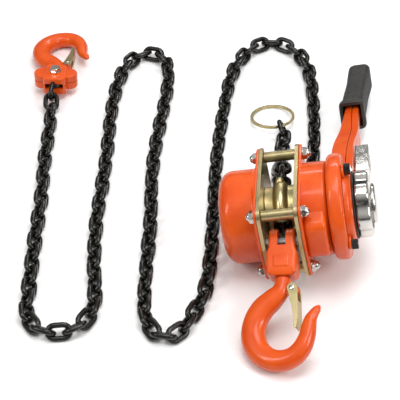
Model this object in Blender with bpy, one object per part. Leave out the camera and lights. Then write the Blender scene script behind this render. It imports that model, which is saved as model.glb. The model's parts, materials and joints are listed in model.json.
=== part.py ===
"""A ratchet lever chain hoist lying on a floor, with its load chain laid out in loops.

Every length is in millimetres and is scaled to metres where the meshes are made. The hoist frame has
its origin on the drive shaft midway between the side plates: X runs along the shaft towards the lever,
-Y points to the top hook, Z is up. As the hoist lies, that frame is tilted and rolled a little.
"""

import math

import bpy
from mathutils import Matrix, Vector

MM = 0.001
GAP = 0.3

# The middle of the whole outline, seen from above, as measured from the middle of the shaft
OUTLINE_MIDDLE = (-117.9, 101.7)

# How the hoist lies
SHAFT_HEIGHT = 63.9
SHAFT_TILT = 12.0
HOIST_ROLL = -6.0
LEVER_DROP = -4.4
YOKE_DROP = 28.6
YOKE_LEAN = -3.0
HOOK_SWIVEL = -11.0

# How many sides a round piece has
ROUND = 32
SIDES = 20
SLIM = 12
RING_STEPS = 30

# Frame
INNER = 18.0
PLATE = 4.0
OUTER = INNER + PLATE
FLANGE = 3.0
FLANGE_FACE = OUTER + GAP + FLANGE
CORNER = 11.0
STAYS = {
    "front_upper": (-52.0, 37.0),
    "front_lower": (-52.0, -37.0),
    "rear_upper": (45.0, 45.0),
    "rear_lower": (45.0, -45.0),
}
STAY_RADIUS = 6.0
BOLT_RADIUS = 4.0
TOP_PIN_Y = -52.0
COVER_RADIUS = 52.0
WALL = 3.0
GEAR_COVER_END = 67.0
BRAKE_COVER_END = 51.5
BRAKE_LOBE_END = 49.0

# Chain
WIRE = 6.2
PITCH = 18.0
LINK_WIDTH = 20.7
CHAIN_RADIUS = 8.5
SHEAVE_PITCH_RADIUS = 24.0

# Gears
MODULE = 1.65
SMALL_TEETH = 8
LARGE_TEETH = 24
GEAR_SPACING = MODULE * (SMALL_TEETH + LARGE_TEETH) / 2

# Brake and lever
RATCHET_TEETH = 12
CHANGE_TEETH = 8
LEVER_RADIUS = 58.5
SELECTOR_PIVOT = 62.0
LEVER_BOLT_RADIUS = 52.7
LEVER_BOLT_ANGLES = (100, 200, 300)
WHEEL_RADIUS = 36.5

# Hooks, measured from the middle of the bowl
PIN_TO_BOWL = 101.0
BOTTOM_HOOK_SIZE = 0.9
BOLT_TO_BOWL = 70.4
LATCH_PIVOT = (12.4, 44.6)
PRONG_HALF_WIDTH = 14.2
YOKE_HALF_WIDTH = 16.3


def clear_scene():
    for item in list(bpy.data.objects):
        bpy.data.objects.remove(item)


def make_material(name, colour, metallic, roughness):
    material = bpy.data.materials.new(name)
    material.use_nodes = True
    shader = material.node_tree.nodes["Principled BSDF"]
    shader.inputs["Base Color"].default_value = (*colour, 1.0)
    shader.inputs["Metallic"].default_value = metallic
    shader.inputs["Roughness"].default_value = roughness
    return material


def make_materials():
    return {
        "paint": make_material("orange_paint", (0.80, 0.12, 0.015), 0.0, 0.25),
        "zinc": make_material("yellow_zinc", (0.62, 0.50, 0.24), 0.9, 0.35),
        "black": make_material("black_chain", (0.012, 0.012, 0.013), 0.4, 0.3),
        "chrome": make_material("bright_steel", (0.62, 0.61, 0.59), 1.0, 0.2),
        "steel": make_material("machined_steel", (0.42, 0.42, 0.43), 1.0, 0.4),
        "lining": make_material("brake_lining", (0.10, 0.07, 0.05), 0.0, 0.9),
        "rubber": make_material("grip_rubber", (0.03, 0.03, 0.03), 0.0, 0.7),
    }


def place_frame(name, parent, location=(0, 0, 0), turn=Matrix.Identity(4)):
    """An empty whose origin is a joint's axis or a sub-assembly's reference point."""
    frame = bpy.data.objects.new(name, None)
    bpy.context.collection.objects.link(frame)
    frame.parent = parent
    frame.matrix_local = Matrix.Translation(Vector(location) * MM) @ turn
    return frame


def turned(axis, degrees):
    return Matrix.Rotation(math.radians(degrees), 4, axis)


def mesh_object(name, points, faces):
    mesh = bpy.data.meshes.new(name)
    mesh.from_pydata([Vector(p) * MM for p in points], [], faces)
    mesh.update()
    part = bpy.data.objects.new(name, mesh)
    bpy.context.collection.objects.link(part)
    return part


def finish(part, material, frame, sharp=35.0):
    """Give a built shape its material, its smooth shading and the frame it belongs to."""
    part.data.materials.clear()
    part.data.materials.append(material)
    part.data.shade_smooth()
    part.data.set_sharp_from_angle(angle=math.radians(sharp))
    part.parent = frame
    return part


def combine(part, tools, operation):
    """Cut, or join, a list of shapes with the first one, and keep the result as its mesh."""
    for tool in tools:
        modifier = part.modifiers.new(operation, "BOOLEAN")
        modifier.operation = operation
        modifier.object = tool
    bpy.context.view_layer.update()
    shape = part.evaluated_get(bpy.context.evaluated_depsgraph_get())
    mesh = bpy.data.meshes.new_from_object(shape)
    part.modifiers.clear()
    part.data = mesh
    for tool in tools:
        bpy.data.objects.remove(tool)
    return part


def cut(part, *tools):
    return combine(part, tools, "DIFFERENCE")


def join(part, *tools):
    return combine(part, tools, "UNION")


def skin(name, rings, closed=False):
    """Faces between neighbouring rings of points, which all have one count or are a single point."""
    points, spans = [], []
    for ring in rings:
        spans.append(range(len(points), len(points) + len(ring)))
        points += ring
    count = max(len(ring) for ring in rings)
    faces = []
    pairs = list(zip(spans, spans[1:]))
    if closed:
        pairs.append((spans[-1], spans[0]))
    for first, second in pairs:
        if len(first) == 1 and len(second) == 1:
            continue
        for i in range(count):
            j = (i + 1) % count
            corners = [ring[k % len(ring)] for ring, k in ((first, i), (first, j), (second, j), (second, i))]
            faces.append(list(dict.fromkeys(corners)))
    if not closed:
        if len(spans[0]) > 1:
            faces.append(list(reversed(spans[0])))
        if len(spans[-1]) > 1:
            faces.append(list(spans[-1]))
    return mesh_object(name, points, faces)


def outward(part):
    """Turn the faces of a closed shape outward, whichever way its outline was drawn."""
    part.data.update()
    volume = 0.0
    for face in part.data.polygons:
        corners = [part.data.vertices[i].co for i in face.vertices]
        for second, third in zip(corners[1:], corners[2:]):
            volume += corners[0].dot(second.cross(third))
    if volume < 0:
        part.data.flip_normals()
    return part


def arc(centre, radius, start, end, steps):
    """Points on a circle in a plane, from one angle to another, in degrees."""
    points = []
    for i in range(steps + 1):
        angle = math.radians(start + (end - start) * i / steps)
        points.append((centre[0] + radius * math.cos(angle), centre[1] + radius * math.sin(angle)))
    return points


def turn_profile(name, profile, sides=SIDES, centre=(0.0, 0.0)):
    """A solid turned about an axis parallel to X, from (x, radius) points that run from axis to axis."""
    rings = []
    for x, radius in profile:
        if radius == 0:
            rings.append([(x, centre[0], centre[1])])
        else:
            circle = arc(centre, radius, 0, 360 - 360 / sides, sides - 1)
            rings.append([(x, y, z) for y, z in circle])
    return outward(skin(name, rings))


def turn_ring(name, profile, sides=SIDES, centre=(0.0, 0.0)):
    """A solid with a hole through it, turned about X from a closed loop of (x, radius) points."""
    rings = []
    for x, radius in profile:
        circle = arc(centre, radius, 0, 360 - 360 / sides, sides - 1)
        rings.append([(x, y, z) for y, z in circle])
    return outward(skin(name, rings, closed=True))


def rod(name, x0, x1, radius, sides=SLIM, centre=(0.0, 0.0)):
    return turn_profile(name, [(x0, 0), (x0, radius), (x1, radius), (x1, 0)], sides, centre)


def washer(name, x0, x1, inner, outer, sides=SIDES, centre=(0.0, 0.0)):
    return turn_ring(name, [(x0, inner), (x0, outer), (x1, outer), (x1, inner)], sides, centre)


def prism(name, outline, x0, x1):
    """A plate whose outline of (y, z) points is pushed along X."""
    return outward(skin(name, [[(x, y, z) for y, z in outline] for x in (x0, x1)]))


def slab(name, outline, z0, z1):
    """A plate whose outline of (x, y) points is pushed along Z."""
    return outward(skin(name, [[(x, y, z) for x, y in outline] for z in (z0, z1)]))


def box(name, low, high):
    outline = [(low[0], low[1]), (high[0], low[1]), (high[0], high[1]), (low[0], high[1])]
    return slab(name, outline, low[2], high[2])


def hull_outline(circles, steps=16):
    """The outline of a tight belt around circles, each given as (centre, radius)."""
    points = sorted(p for c, radius in circles for p in arc(c, radius, 0, 360 - 360 / steps, steps - 1))

    def half(ordered):
        chain = []
        for p in ordered:
            while len(chain) > 1:
                (ax, ay), (bx, by) = chain[-2], chain[-1]
                if (bx - ax) * (p[1] - ay) - (by - ay) * (p[0] - ax) > 1e-9:
                    break
                chain.pop()
            chain.append(p)
        return chain[:-1]

    return half(points) + half(points[::-1])


def gear_outline(teeth, phase=0.0):
    """Slim straight-sided teeth, cut with play so that a pair turns freely."""
    pitch_radius = MODULE * teeth / 2
    shape = ((-1.05, 0.82), (0.8, 0.34), (0.8, -0.34), (-1.05, -0.82))
    outline = []
    for tooth in range(teeth):
        middle = math.radians(phase) + 2 * math.pi * tooth / teeth
        for height, half in reversed(shape):
            radius = pitch_radius + height * MODULE
            angle = middle + half * MODULE / radius
            outline.append((radius * math.cos(angle), radius * math.sin(angle)))
    return outline


def shifted(outline, offset):
    return [(a + offset[0], b + offset[1]) for a, b in outline]


def polar(radius, degrees):
    return radius * math.cos(math.radians(degrees)), radius * math.sin(math.radians(degrees))


# ---------------------------------------------------------------- frame and covers


def plate_outline(corner=CORNER):
    return hull_outline([(centre, corner) for centre in STAYS.values()] + [((TOP_PIN_Y, 0.0), 14.0)])


def bolt_holes(x0, x1, radius):
    return [rod("hole", x0, x1, radius, SLIM, centre) for centre in STAYS.values()]


def build_side_plates(frame, paint):
    spindles = [(0.0, side * GEAR_SPACING) for side in (1, -1)]
    disc_holes = [rod("hole", -OUTER - 1, -INNER + 1, 5.0, SLIM, centre) for centre in spindles]
    pawl_holes = [rod("hole", INNER - 1, OUTER + 1, 2.6, SLIM, pawl_pivot(side)) for side in (0, 1)]
    for name, side, extra in (("gear", -1, disc_holes), ("brake", 1, pawl_holes)):
        x0, x1 = sorted((side * INNER, side * OUTER))
        plate = prism(f"side_plate_{name}", plate_outline(), x0, x1)
        shaft_hole = rod("hole", x0 - 1, x1 + 1, 14.4, SIDES)
        pin_hole = rod("hole", x0 - 1, x1 + 1, 5.4, SLIM, (TOP_PIN_Y, 0.0))
        cut(plate, shaft_hole, pin_hole, *bolt_holes(x0 - 1, x1 + 1, BOLT_RADIUS + GAP), *extra)
        finish(plate, paint, frame)


def build_gear_cover(frame, paint):
    """A deep round cap with a flange, hollow for the reduction gears."""
    end, fillet = -GEAR_COVER_END, 14.0
    corner = arc((end + fillet, COVER_RADIUS - fillet), fillet, 180, 90, 4)
    root = -FLANGE_FACE + 0.5
    cap = turn_profile("cap", [(end, 0), *corner, (root, COVER_RADIUS), (root, 0)], ROUND)
    flange = prism("gear_cover", plate_outline(CORNER - 0.6), -FLANGE_FACE, -OUTER - GAP)
    join(flange, cap)
    inner = fillet - WALL
    inside = arc((end + fillet, COVER_RADIUS - fillet), inner, 180, 90, 3)
    mouth = [(-OUTER + 1, COVER_RADIUS - WALL), (-OUTER + 1, 0)]
    hollow = turn_profile("hollow", [(end + WALL, 0), *inside, *mouth], ROUND)
    cut(flange, hollow, *bolt_holes(-FLANGE_FACE - 1, -OUTER + 1, BOLT_RADIUS + GAP))
    finish(flange, paint, frame)


def build_brake_cover(frame, paint):
    """The shell over the brake: a lobed body on a flange, and a round drum open for the drive hub."""
    end, fillet = BRAKE_COVER_END, 4.0
    corner = arc((end - fillet, COVER_RADIUS - fillet), fillet, 90, 0, 2)
    start = FLANGE_FACE - 0.5
    drum = turn_profile("drum", [(start, 0), (start, COVER_RADIUS), *corner, (end, 0)], ROUND)
    flange = prism("brake_cover", plate_outline(CORNER - 0.6), OUTER + GAP, FLANGE_FACE)
    lobe = hull_outline([((-48, 13), 12), ((-48, -13), 12), ((0, 30), 18), ((0, -30), 18)], 12)
    join(flange, drum, prism("lobe", lobe, start, BRAKE_LOBE_END))
    wall = COVER_RADIUS - WALL
    face = end - WALL + 0.2
    inside = [(OUTER - 1, 0), (OUTER - 1, wall), (face, wall)]
    opening = [(face, 18), (end + 1, 18), (end + 1, 0)]
    hollow = turn_profile("hollow", inside + opening, ROUND)
    cut(flange, hollow, *bolt_holes(OUTER - 1, FLANGE_FACE + 1, BOLT_RADIUS + GAP))
    finish(flange, paint, frame)


def build_stays(frame, materials):
    """Four shouldered bars hold the plates apart, and a cap nut closes each end."""
    bar_end = INNER - GAP
    thread_end = FLANGE_FACE + 5.5
    for name, centre in STAYS.items():
        half = [(bar_end, STAY_RADIUS), (bar_end, BOLT_RADIUS), (thread_end, BOLT_RADIUS), (thread_end, 0)]
        profile = [(-x, r) for x, r in reversed(half)] + half
        finish(turn_profile(f"stay_{name}", profile, SLIM, centre), materials["zinc"], frame)
        for end, side in (("gear", -1), ("brake", 1)):
            seat = FLANGE_FACE + GAP
            outline = shifted(arc((0, 0), 7.2, 0, 300, 5), centre)
            x0, x1 = sorted((side * seat, side * (seat + 5.0)))
            nut = prism(f"nut_{name}_{end}", outline, x0, x1)
            crown = [(side * (seat + 4.5), 0), (side * (seat + 4.5), 6.0)]
            crown += [(side * (seat + 4.8 + h), r) for h, r in ((2.6, 5.0), (4.7, 0))]
            join(nut, turn_profile("crown", crown, 10, centre))
            bore = sorted((side * (seat - 1), side * (thread_end + GAP)))
            cut(nut, rod("bore", bore[0], bore[1], BOLT_RADIUS + GAP, 10, centre))
            finish(nut, materials["chrome"], frame)


def build_chain_guide(frame, material):
    """A stamped strap over the sheave, with a raised rib that the upright links pass under."""
    outer = [(-17.2, 30.9), (-17.2, 33), (-8.6, 33), (-7.2, 38), (-4, 40)]
    outer += [(-x, r) for x, r in reversed(outer[1:])]
    inner = [(17.2, 30.9), (7.4, 30.9), (5.6, 35.8), (-5.6, 35.8), (-7.4, 30.9)]
    first, last, steps = 80.0, 158.0, 7
    rings = []
    for i in range(steps + 1):
        angle = first + (last - first) * i / steps
        rings.append([(x, *polar(r, angle)) for x, r in outer + inner])
    guide = outward(skin("chain_guide", rings))
    y, z = polar(38.4, first + 2)
    knob = turn_profile("knob", [(-4.6, 0), (-4.6, 3), (-3, 5), (3, 5), (4.6, 3), (4.6, 0)], 12, (y, z))
    finish(join(guide, knob), material, frame)


def build_top_pin(frame, material):
    finish(rod("top_hook_pin", -OUTER, OUTER, 5.0, SLIM, (TOP_PIN_Y, 0.0)), material, frame)


# ---------------------------------------------------------------- sheave and gears


def build_sheave(frame, materials):
    """The sheave has a round groove, a slot for the upright links and four pockets for the flat ones."""
    groove = CHAIN_RADIUS + 0.45
    flank = arc((0, SHEAVE_PITCH_RADIUS), groove, 176, 244, 3)
    left = [(-36, 6.5), (-36, 11), (-OUTER - 0.5, 11), (-OUTER - 0.5, 14)]
    left += [(-INNER + 0.4, 14), (-INNER + 0.4, 16.5)]
    left += [(-15.6, 17.5), (-15.6, 28.2), (-14.4, 29.4), (-10.4, 29.4), *flank, (flank[-1][0], 13.2)]
    right = [(-x, r) for x, r in reversed(left[2:])]
    right[-2:] = [(OUTER - 0.6, 14), (OUTER - 0.6, 6.5)]
    sheave = turn_ring("load_sheave", left + right, SIDES)
    pockets = []
    for i in range(4):
        outline = [(-11.0, -15.6), (11.0, -15.6), (11.0, 15.6), (-11.0, 15.6)]
        pocket = slab("pocket", outline, 20.4, 34)
        pocket.matrix_world = turned("X", 45 + 90 * i)
        pockets.append(pocket)
    finish(cut(sheave, *pockets), materials["zinc"], frame)
    gear = prism("load_gear", gear_outline(LARGE_TEETH), -35.5, -25)
    cut(gear, rod("bore", -37, -24, 11.4, SIDES))
    finish(gear, materials["steel"], frame)


def build_pinion_shaft(frame, material):
    profile = [(-60, 0), (-60, 4.4), (-51.6, 4.4), (-51.6, 4.9), (-40, 4.9), (-40, 6.1)]
    profile += [(24, 6.1), (24, 7.0), (56, 7.0), (56, 5.0), (98, 5.0), (98, 0)]
    shaft = turn_profile("pinion_shaft", profile, SLIM)
    join(shaft, prism("pinion", gear_outline(SMALL_TEETH), -50.4, -40.6))
    finish(shaft, material, frame)


def build_disc_gear(name, frame, material):
    """A large wheel and a small pinion on one spindle, between the drive pinion and the load gear."""
    half_large = 180 / LARGE_TEETH
    half_small = 180 / SMALL_TEETH
    spindle = turn_profile(name, [(-59, 0), (-59, 4.5), (-18.6, 4.5), (-18.6, 0)], SLIM)
    wheel = prism("wheel", gear_outline(LARGE_TEETH, half_large), -49.5, -41.5)
    pinion = prism("pinion", gear_outline(SMALL_TEETH, half_small), -41.6, -25.4)
    finish(join(spindle, wheel, pinion), material, frame)


# ---------------------------------------------------------------- brake


def pawl_pivot(index):
    return polar(43.5, pawl_angle(index) + 38)


def pawl_angle(index):
    return 60.0 + 180.0 * index


def build_ratchet(frame, materials):
    outline = []
    for tooth in range(RATCHET_TEETH):
        start = 360 * tooth / RATCHET_TEETH
        outline += [polar(28.5, start), polar(30.6, start + 14)]
        outline += [polar(33.0, start + 28), polar(33.0, start + 29.4)]
    disc = prism("ratchet_disc", outline, 33.6, 39.6)
    finish(cut(disc, rod("bore", 32, 41, 15.3, SIDES)), materials["steel"], frame)
    finish(washer("friction_plate_inner", 31.3, 33.3, 12.6, 27.5), materials["lining"], frame)
    finish(washer("friction_plate_outer", 39.9, 41.9, 15.6, 27.5), materials["lining"], frame)


def build_pawl(name, frame, index, material):
    """A pawl whose nose drops behind a ratchet tooth; its frame is on its pivot pin."""
    start = pawl_angle(index)
    pivot = pawl_pivot(index)
    outline = [polar(29.9, start + 1.0), polar(35.6, start + 1.0), polar(41.0, start + 14)]
    outline += arc(pivot, 4.4, start + 20, start + 38 + 150, 8)
    outline.append(polar(34.6, start + 24))
    outline = shifted(outline, (-pivot[0], -pivot[1]))
    pawl = prism(name, outline, 34.2, 39.0)
    finish(cut(pawl, rod("bore", 33, 40, 2.6)), material, frame)


def build_pawl_pins(frame, material):
    for index, name in enumerate(("upper", "lower")):
        finish(rod(f"pawl_pin_{name}", INNER + 0.2, 44, 2.2, SLIM, pawl_pivot(index)), material, frame)


def build_brake_hub(frame, material):
    profile = [(24.4, 7.3), (24.4, 12), (26.5, 12), (26.5, 28)]
    profile += [(31, 28), (31, 12.2), (39.2, 12.2), (39.2, 7.3)]
    finish(turn_ring("brake_hub", profile), material, frame)


def build_change_gear(frame, material):
    """The drive hub: a pressure flange, the gear that the lever's pawl pushes and the wheel's seat."""
    profile = [(42.2, 7.4), (42.2, 27), (46.5, 27), (46.5, 14), (84, 14), (84, 11.6), (90, 11.6), (90, 7.4)]
    hub = turn_ring("drive_hub", profile)
    outline = []
    for tooth in range(CHANGE_TEETH):
        middle = LEVER_DROP + 360 * (tooth + 0.5) / CHANGE_TEETH
        outline += [polar(20.5, middle - 7), polar(25.6, middle - 4)]
        outline += [polar(25.6, middle + 4), polar(20.5, middle + 7)]
    ring = prism("ring", outline, 57, 67)
    cut(ring, rod("bore", 56, 68, 12, SIDES))
    finish(join(hub, ring), material, frame)


# ---------------------------------------------------------------- lever


def arm_section(station, z_wall=0.0, x_low=0.0, x_high=0.0):
    y, x0, x1, half = station
    return [(x0 + x_low, y, -half + z_wall), (x1 + x_high, y, -half + z_wall),
            (x1 + x_high, y, half - z_wall), (x0 + x_low, y, half - z_wall)]


def build_lever_inner(frame, paint):
    """The half against the brake cover: a round dish that carries one half of the arm."""
    profile = [(52.2, 18), (52.2, 55), (55.5, LEVER_RADIUS), (66.5, LEVER_RADIUS), (69, 56.5), (69, 18)]
    dish = turn_ring("lever_inner_half", profile, ROUND)
    stations = [(35, 52.8, 69, 25), (76, 52.2, 69, 21), (112, 54, 70.7, 17), (150, 60, 73.8, 12.5)]
    stations += [(205, 65.5, 73.8, 9), (286, 73.2, 81.5, 9)]
    join(dish, skin("arm", [arm_section(s) for s in stations]))
    cavity = turn_profile("cavity", [(55, 0), (55, 47.5), (72, 47.5), (72, 0)], ROUND)
    channel = skin("channel", [arm_section(s, 2.6, 2.6, 6) for s in stations[:3]])
    bolts = [rod("hole", 58, 72, 2.8, SLIM, polar(LEVER_BOLT_RADIUS, a)) for a in LEVER_BOLT_ANGLES]
    cut(dish, outward(cavity), outward(channel), *bolts)
    finish(dish, paint, frame)


def build_lever_outer(frame, paint):
    """The cover half: a shallow dome with three bolt ears and the other half of the arm."""
    ears = [prism("ear", arc(polar(49.5, a), 8.0, 0, 330, 11), 69.3, 72) for a in LEVER_BOLT_ANGLES]
    profile = [(69.3, 14.6), (69.3, 47), (75, 45.5), (77.4, 42), (77.4, 14.6)]
    dome = turn_ring("lever_outer_half", profile, ROUND)
    stations = [(30, 69.3, 77.2, 24), (76, 69.3, 77.6, 20.5), (112, 71, 78, 17), (150, 74.1, 82.4, 12.5)]
    stations += [(205, 74.1, 82, 9), (286, 81.8, 89.7, 9)]
    join(dome, skin("arm", [arm_section(s) for s in stations]), *ears)
    cavity = turn_profile("cavity", [(68, 0), (68, 42), (74.9, 41), (74.9, 0)], ROUND)
    channel = skin("channel", [arm_section(s, 2.6, -2, -2.6) for s in stations[:3]])
    pivot = rod("hole", 60, 90, 4.4, SLIM, (SELECTOR_PIVOT, 0))
    bolts = [rod("hole", 68, 73, 2.8, SLIM, polar(LEVER_BOLT_RADIUS, a)) for a in LEVER_BOLT_ANGLES]
    cut(dome, outward(cavity), outward(channel), pivot, *bolts)
    finish(dome, paint, frame)


def build_lever_bolts(frame, material):
    for index, angle in enumerate(LEVER_BOLT_ANGLES):
        centre = polar(LEVER_BOLT_RADIUS, angle)
        bolt = rod(f"lever_bolt_{index + 1}", 60, 75, 2.5, SLIM, centre)
        head = prism("head", shifted(arc((0, 0), 6.2, 0, 300, 5), centre), 72.3, 79.2)
        finish(join(bolt, head), material, frame)


def rounded_rectangle(half_a, half_b, radius, steps=3):
    corners = ((1, 1, 0), (-1, 1, 90), (-1, -1, 180), (1, -1, 270))
    outline = []
    for sa, sb, start in corners:
        outline += arc((sa * (half_a - radius), sb * (half_b - radius)), radius, start, start + 90, steps)
    return outline


def build_grip(frame, rubber):
    """A moulded sleeve over the arm's bent end, a little wider at its mouth and its end."""

    def middle(y):
        return 73.95 + (y - 205) * 0.095

    rings = []
    for y, grow in ((203, 2.2), (209, 2.0), (216, 0), (262, -0.6), (300, 0.4), (306, 0.2), (310, -2.5)):
        outline = rounded_rectangle(13.2 + grow, 17.8 + grow, 6.5)
        rings.append([(middle(y) + a, y, b) for a, b in outline])
    grip = outward(skin("lever_grip", rings))
    bore = [arm_section((y, middle(y) - 9.0, middle(y) + 9.0, 9.6)) for y in (195, 287)]
    mouth = [arm_section((y, middle(y) - 11.2, middle(y) + 11.2, 15.2)) for y in (195, 222)]
    finish(cut(grip, outward(skin("bore", bore)), outward(skin("mouth", mouth))), rubber, frame)


def build_selector(frame, materials):
    """The change pawl and, outside the housing, its knob; their frame is on the spindle that joins them."""
    outline = [(-36.3, -13.2), (-33.2, -6), (-33.2, 6), (-36.3, 13.2), (-27, 12.4), (-14, 6)]
    outline += arc((0, 0), 7.5, 120, -120, 8) + [(-14, -6), (-27, -12.4)]
    pawl = prism("change_pawl", outline, 58.5, 66.5)
    finish(join(pawl, rod("spindle", 59, 88.5, 4.0)), materials["steel"], frame)
    outline = arc((0, 0), 9.5, 110, 250, 6) + [(10, -10.5), (40, -12.5), (47, -5), (47, 12.5), (10, 10.5)]
    knob = prism("selector_knob", outline, 78.6, 94)
    hollow = prism("hollow", [(12, -8), (38, -10), (44.5, -4), (44.5, 10), (12, 8)], 81.5, 96)
    cut(knob, hollow, rod("bore", 77, 90, 4.4))
    finish(knob, materials["chrome"], frame)


def build_handwheel(frame, materials):
    """A lobed wheel with a dished face and a dark disc behind it."""
    lobes, steps = 6, 36
    rings = []
    for x, size in ((79.8, 0.955), (81.4, 1.0), (93.2, 0.985), (95.4, 0.93)):
        ring = []
        for i in range(steps):
            angle = 2 * math.pi * i / steps
            radius = WHEEL_RADIUS * size - 4.2 * (0.5 - 0.5 * math.cos(lobes * angle)) ** 1.6
            ring.append((x, radius * math.cos(angle), radius * math.sin(angle)))
        rings.append(ring)
    wheel = outward(skin("handwheel", rings))
    dish = turn_profile("dish", [(89.6, 0), (89.6, 24), (91, 27), (96.5, 29.5), (96.5, 0)])
    back = turn_ring("back", [(78.5, 17), (78.5, 31), (84.8, 31), (84.8, 17)])
    bore = turn_profile("bore", [(78.5, 0), (78.5, 14.4), (84.4, 14.4), (84.4, 12), (98, 12), (98, 0)])
    finish(cut(wheel, dish, back, bore), materials["chrome"], frame)
    finish(washer("dust_disc", 77.8, 79.4, 14.5, 38), materials["rubber"], frame)


def build_end_cap(frame, material):
    profile = [(90.6, 0), (90.6, 9), (96.2, 9), (96.2, 21.5), (98.4, 22), (100.8, 20.5), (102, 9), (102, 0)]
    cap = turn_profile("end_cap", profile)
    finish(cut(cap, rod("bore", 90, 98.4, 5.3)), material, frame)


# ---------------------------------------------------------------- hooks


SPINE = (
    (0.2, 57.0, 17.6, 17.0), (-0.2, 51.0, 17.0, 17.0), (-3.2, 43.2, 19.4, 18.4), (-11.2, 35.8, 23.4, 19.8),
    (-21.8, 27.0, 25.6, 20.6), (-29.2, 15.4, 26.0, 21.0), (-32.4, 1.6, 26.4, 21.2), (-30.6, -10.6, 26.2, 21.4),
    (-25.2, -20.4, 25.4, 21.4), (-16.6, -27.8, 24.2, 21.4), (-6.4, -31.6, 22.8, 21.2), (4.6, -31.6, 21.8, 20.8),
    (14.6, -27.6, 20.8, 20.0), (22.4, -19.2, 19.6, 18.6), (27.2, -8.4, 17.6, 16.6), (29.2, 2.0, 16.0, 14.6),
    (31.2, 10.0, 13.2, 12.4), (34.8, 16.0, 10.2, 10.4), (38.0, 20.0, 8.2, 8.8), (40.0, 22.6, 4.8, 5.4),
)


def hook_ring(point, direction, width, thickness, sides=8):
    across = Vector((direction.y, -direction.x, 0.0))
    ring = []
    for i in range(sides):
        angle = 2 * math.pi * i / sides
        side = across * (width / 2 * math.cos(angle))
        ring.append((point[0] + side.x, point[1] + side.y, thickness / 2 * math.sin(angle)))
    return ring


def build_hook(name, frame, shank, size, paint):
    """A forged hook swept along its spine; its frame is in the middle of the bowl, with +Y up the shank."""
    rings = [hook_ring((0, v), Vector((0, -1)), size, size) for v, size in shank]
    for i, (x, y, width, thickness) in enumerate(SPINE):
        before = Vector(SPINE[max(i - 1, 0)][:2])
        after = Vector(SPINE[min(i + 1, len(SPINE) - 1)][:2])
        rings.append(hook_ring((x, y), (after - before).normalized(), width, thickness))
    hook = outward(skin(name, rings))
    ear = rod("ear", -4.0, 4.0, 5.2)
    ear.matrix_world = Matrix.Translation(Vector((*LATCH_PIVOT, 0)) * MM) @ turned("Y", 90)
    web = box("web", (2, 39.5, -4.0), (12.4, 48.5, 4.0))
    join(hook, web, ear)
    hole = rod("hole", -8, 8, 1.9)
    hole.matrix_world = Matrix.Translation(Vector((*LATCH_PIVOT, 0)) * MM) @ turned("Y", 90)
    cut(hook, hole).data.transform(Matrix.Scale(size, 4))
    finish(hook, paint, frame)


def build_latch(name, frame, size, materials):
    """A folded keeper that straddles the hook's ear; its frame is on the rivet."""
    reach = -44.0
    outline = arc((0, 0), 5.6, 20, 180, 6) + [(-5.0, -5), (-0.8, -22), (1.6, -34), (2.2, reach)]
    outline += [(5.2, reach), (6.8, -34), (6.6, -20), (6.2, -5)]
    keeper = slab(name, outline, -7.2, 7.2)
    inside = arc((0, 0), 8.5, 20, 180, 6) + [(-8, -5), (-4, -22), (-2, -34), (-2, reach - 3)]
    inside += [(2.9, reach - 3), (4.4, -34), (4.4, -20), (8.6, -8)]
    channel = slab("channel", inside, -4.9, 4.9)
    hole = rod("hole", -9, 9, 1.9)
    hole.matrix_world = turned("Y", 90)
    cut(keeper, channel, hole).data.transform(Matrix.Scale(size, 4))
    finish(keeper, materials["zinc"], frame)
    profile = [(-8.6, 0), (-8.6, 2.4), (-7.5, 3), (-7.5, 1.6), (7.5, 1.6), (7.5, 3), (8.6, 2.4), (8.6, 0)]
    rivet = turn_profile(f"{name}_rivet", profile, SLIM)
    rivet.data.transform(Matrix.Scale(size, 4) @ turned("Y", 90))
    finish(rivet, materials["chrome"], frame)


def build_top_yoke(frame, paint):
    """A forked block on the top pin, bored for the hook's shank; its frame is on the pin, -Y to the hook."""
    foot = 59.0 - PIN_TO_BOWL
    end_radius = 13.4
    stations = [(foot, 12.5, 10.5), (foot + 3, YOKE_HALF_WIDTH - 0.4, 12.6)]
    stations += [(foot + 9, YOKE_HALF_WIDTH, end_radius), (-16, YOKE_HALF_WIDTH, end_radius)]
    stations += [(-11, PRONG_HALF_WIDTH, end_radius)]
    stations += [(0, PRONG_HALF_WIDTH, end_radius)]
    for angle in (30, 60, 80):
        y, z = polar(end_radius, 90 - angle)
        stations.append((y, PRONG_HALF_WIDTH, z))
    rings = []
    for y, width, depth in stations:
        outline = rounded_rectangle(width, depth, min(3.2, depth * 0.9), 1)
        rings.append([(a, y, b) for a, b in outline])
    yoke = outward(skin("top_yoke", rings))
    slot = box("slot", (-4.6, -9, -15), (4.6, 15, 15))
    pocket = rod("pocket", -24.5, -8, 11.4, SIDES)
    pocket.data.transform(turned("Z", 90))
    pin = rod("pin", -20, 20, 6.2)
    face = box("face", (-9, -34, 11), (9, -20, 14.6))
    shank = rod("shank", foot - 2, -20, 7.1)
    shank.data.transform(turned("Z", 90))
    cut(join(yoke, face), slot, pocket, pin, shank)
    finish(yoke, paint, frame)


def build_top_collar(frame, material):
    collar = washer("top_hook_collar", 77.2, 85.2, 6.8, 10.8, 16)
    collar.data.transform(turned("Z", 90))
    finish(collar, material, frame)


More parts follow.
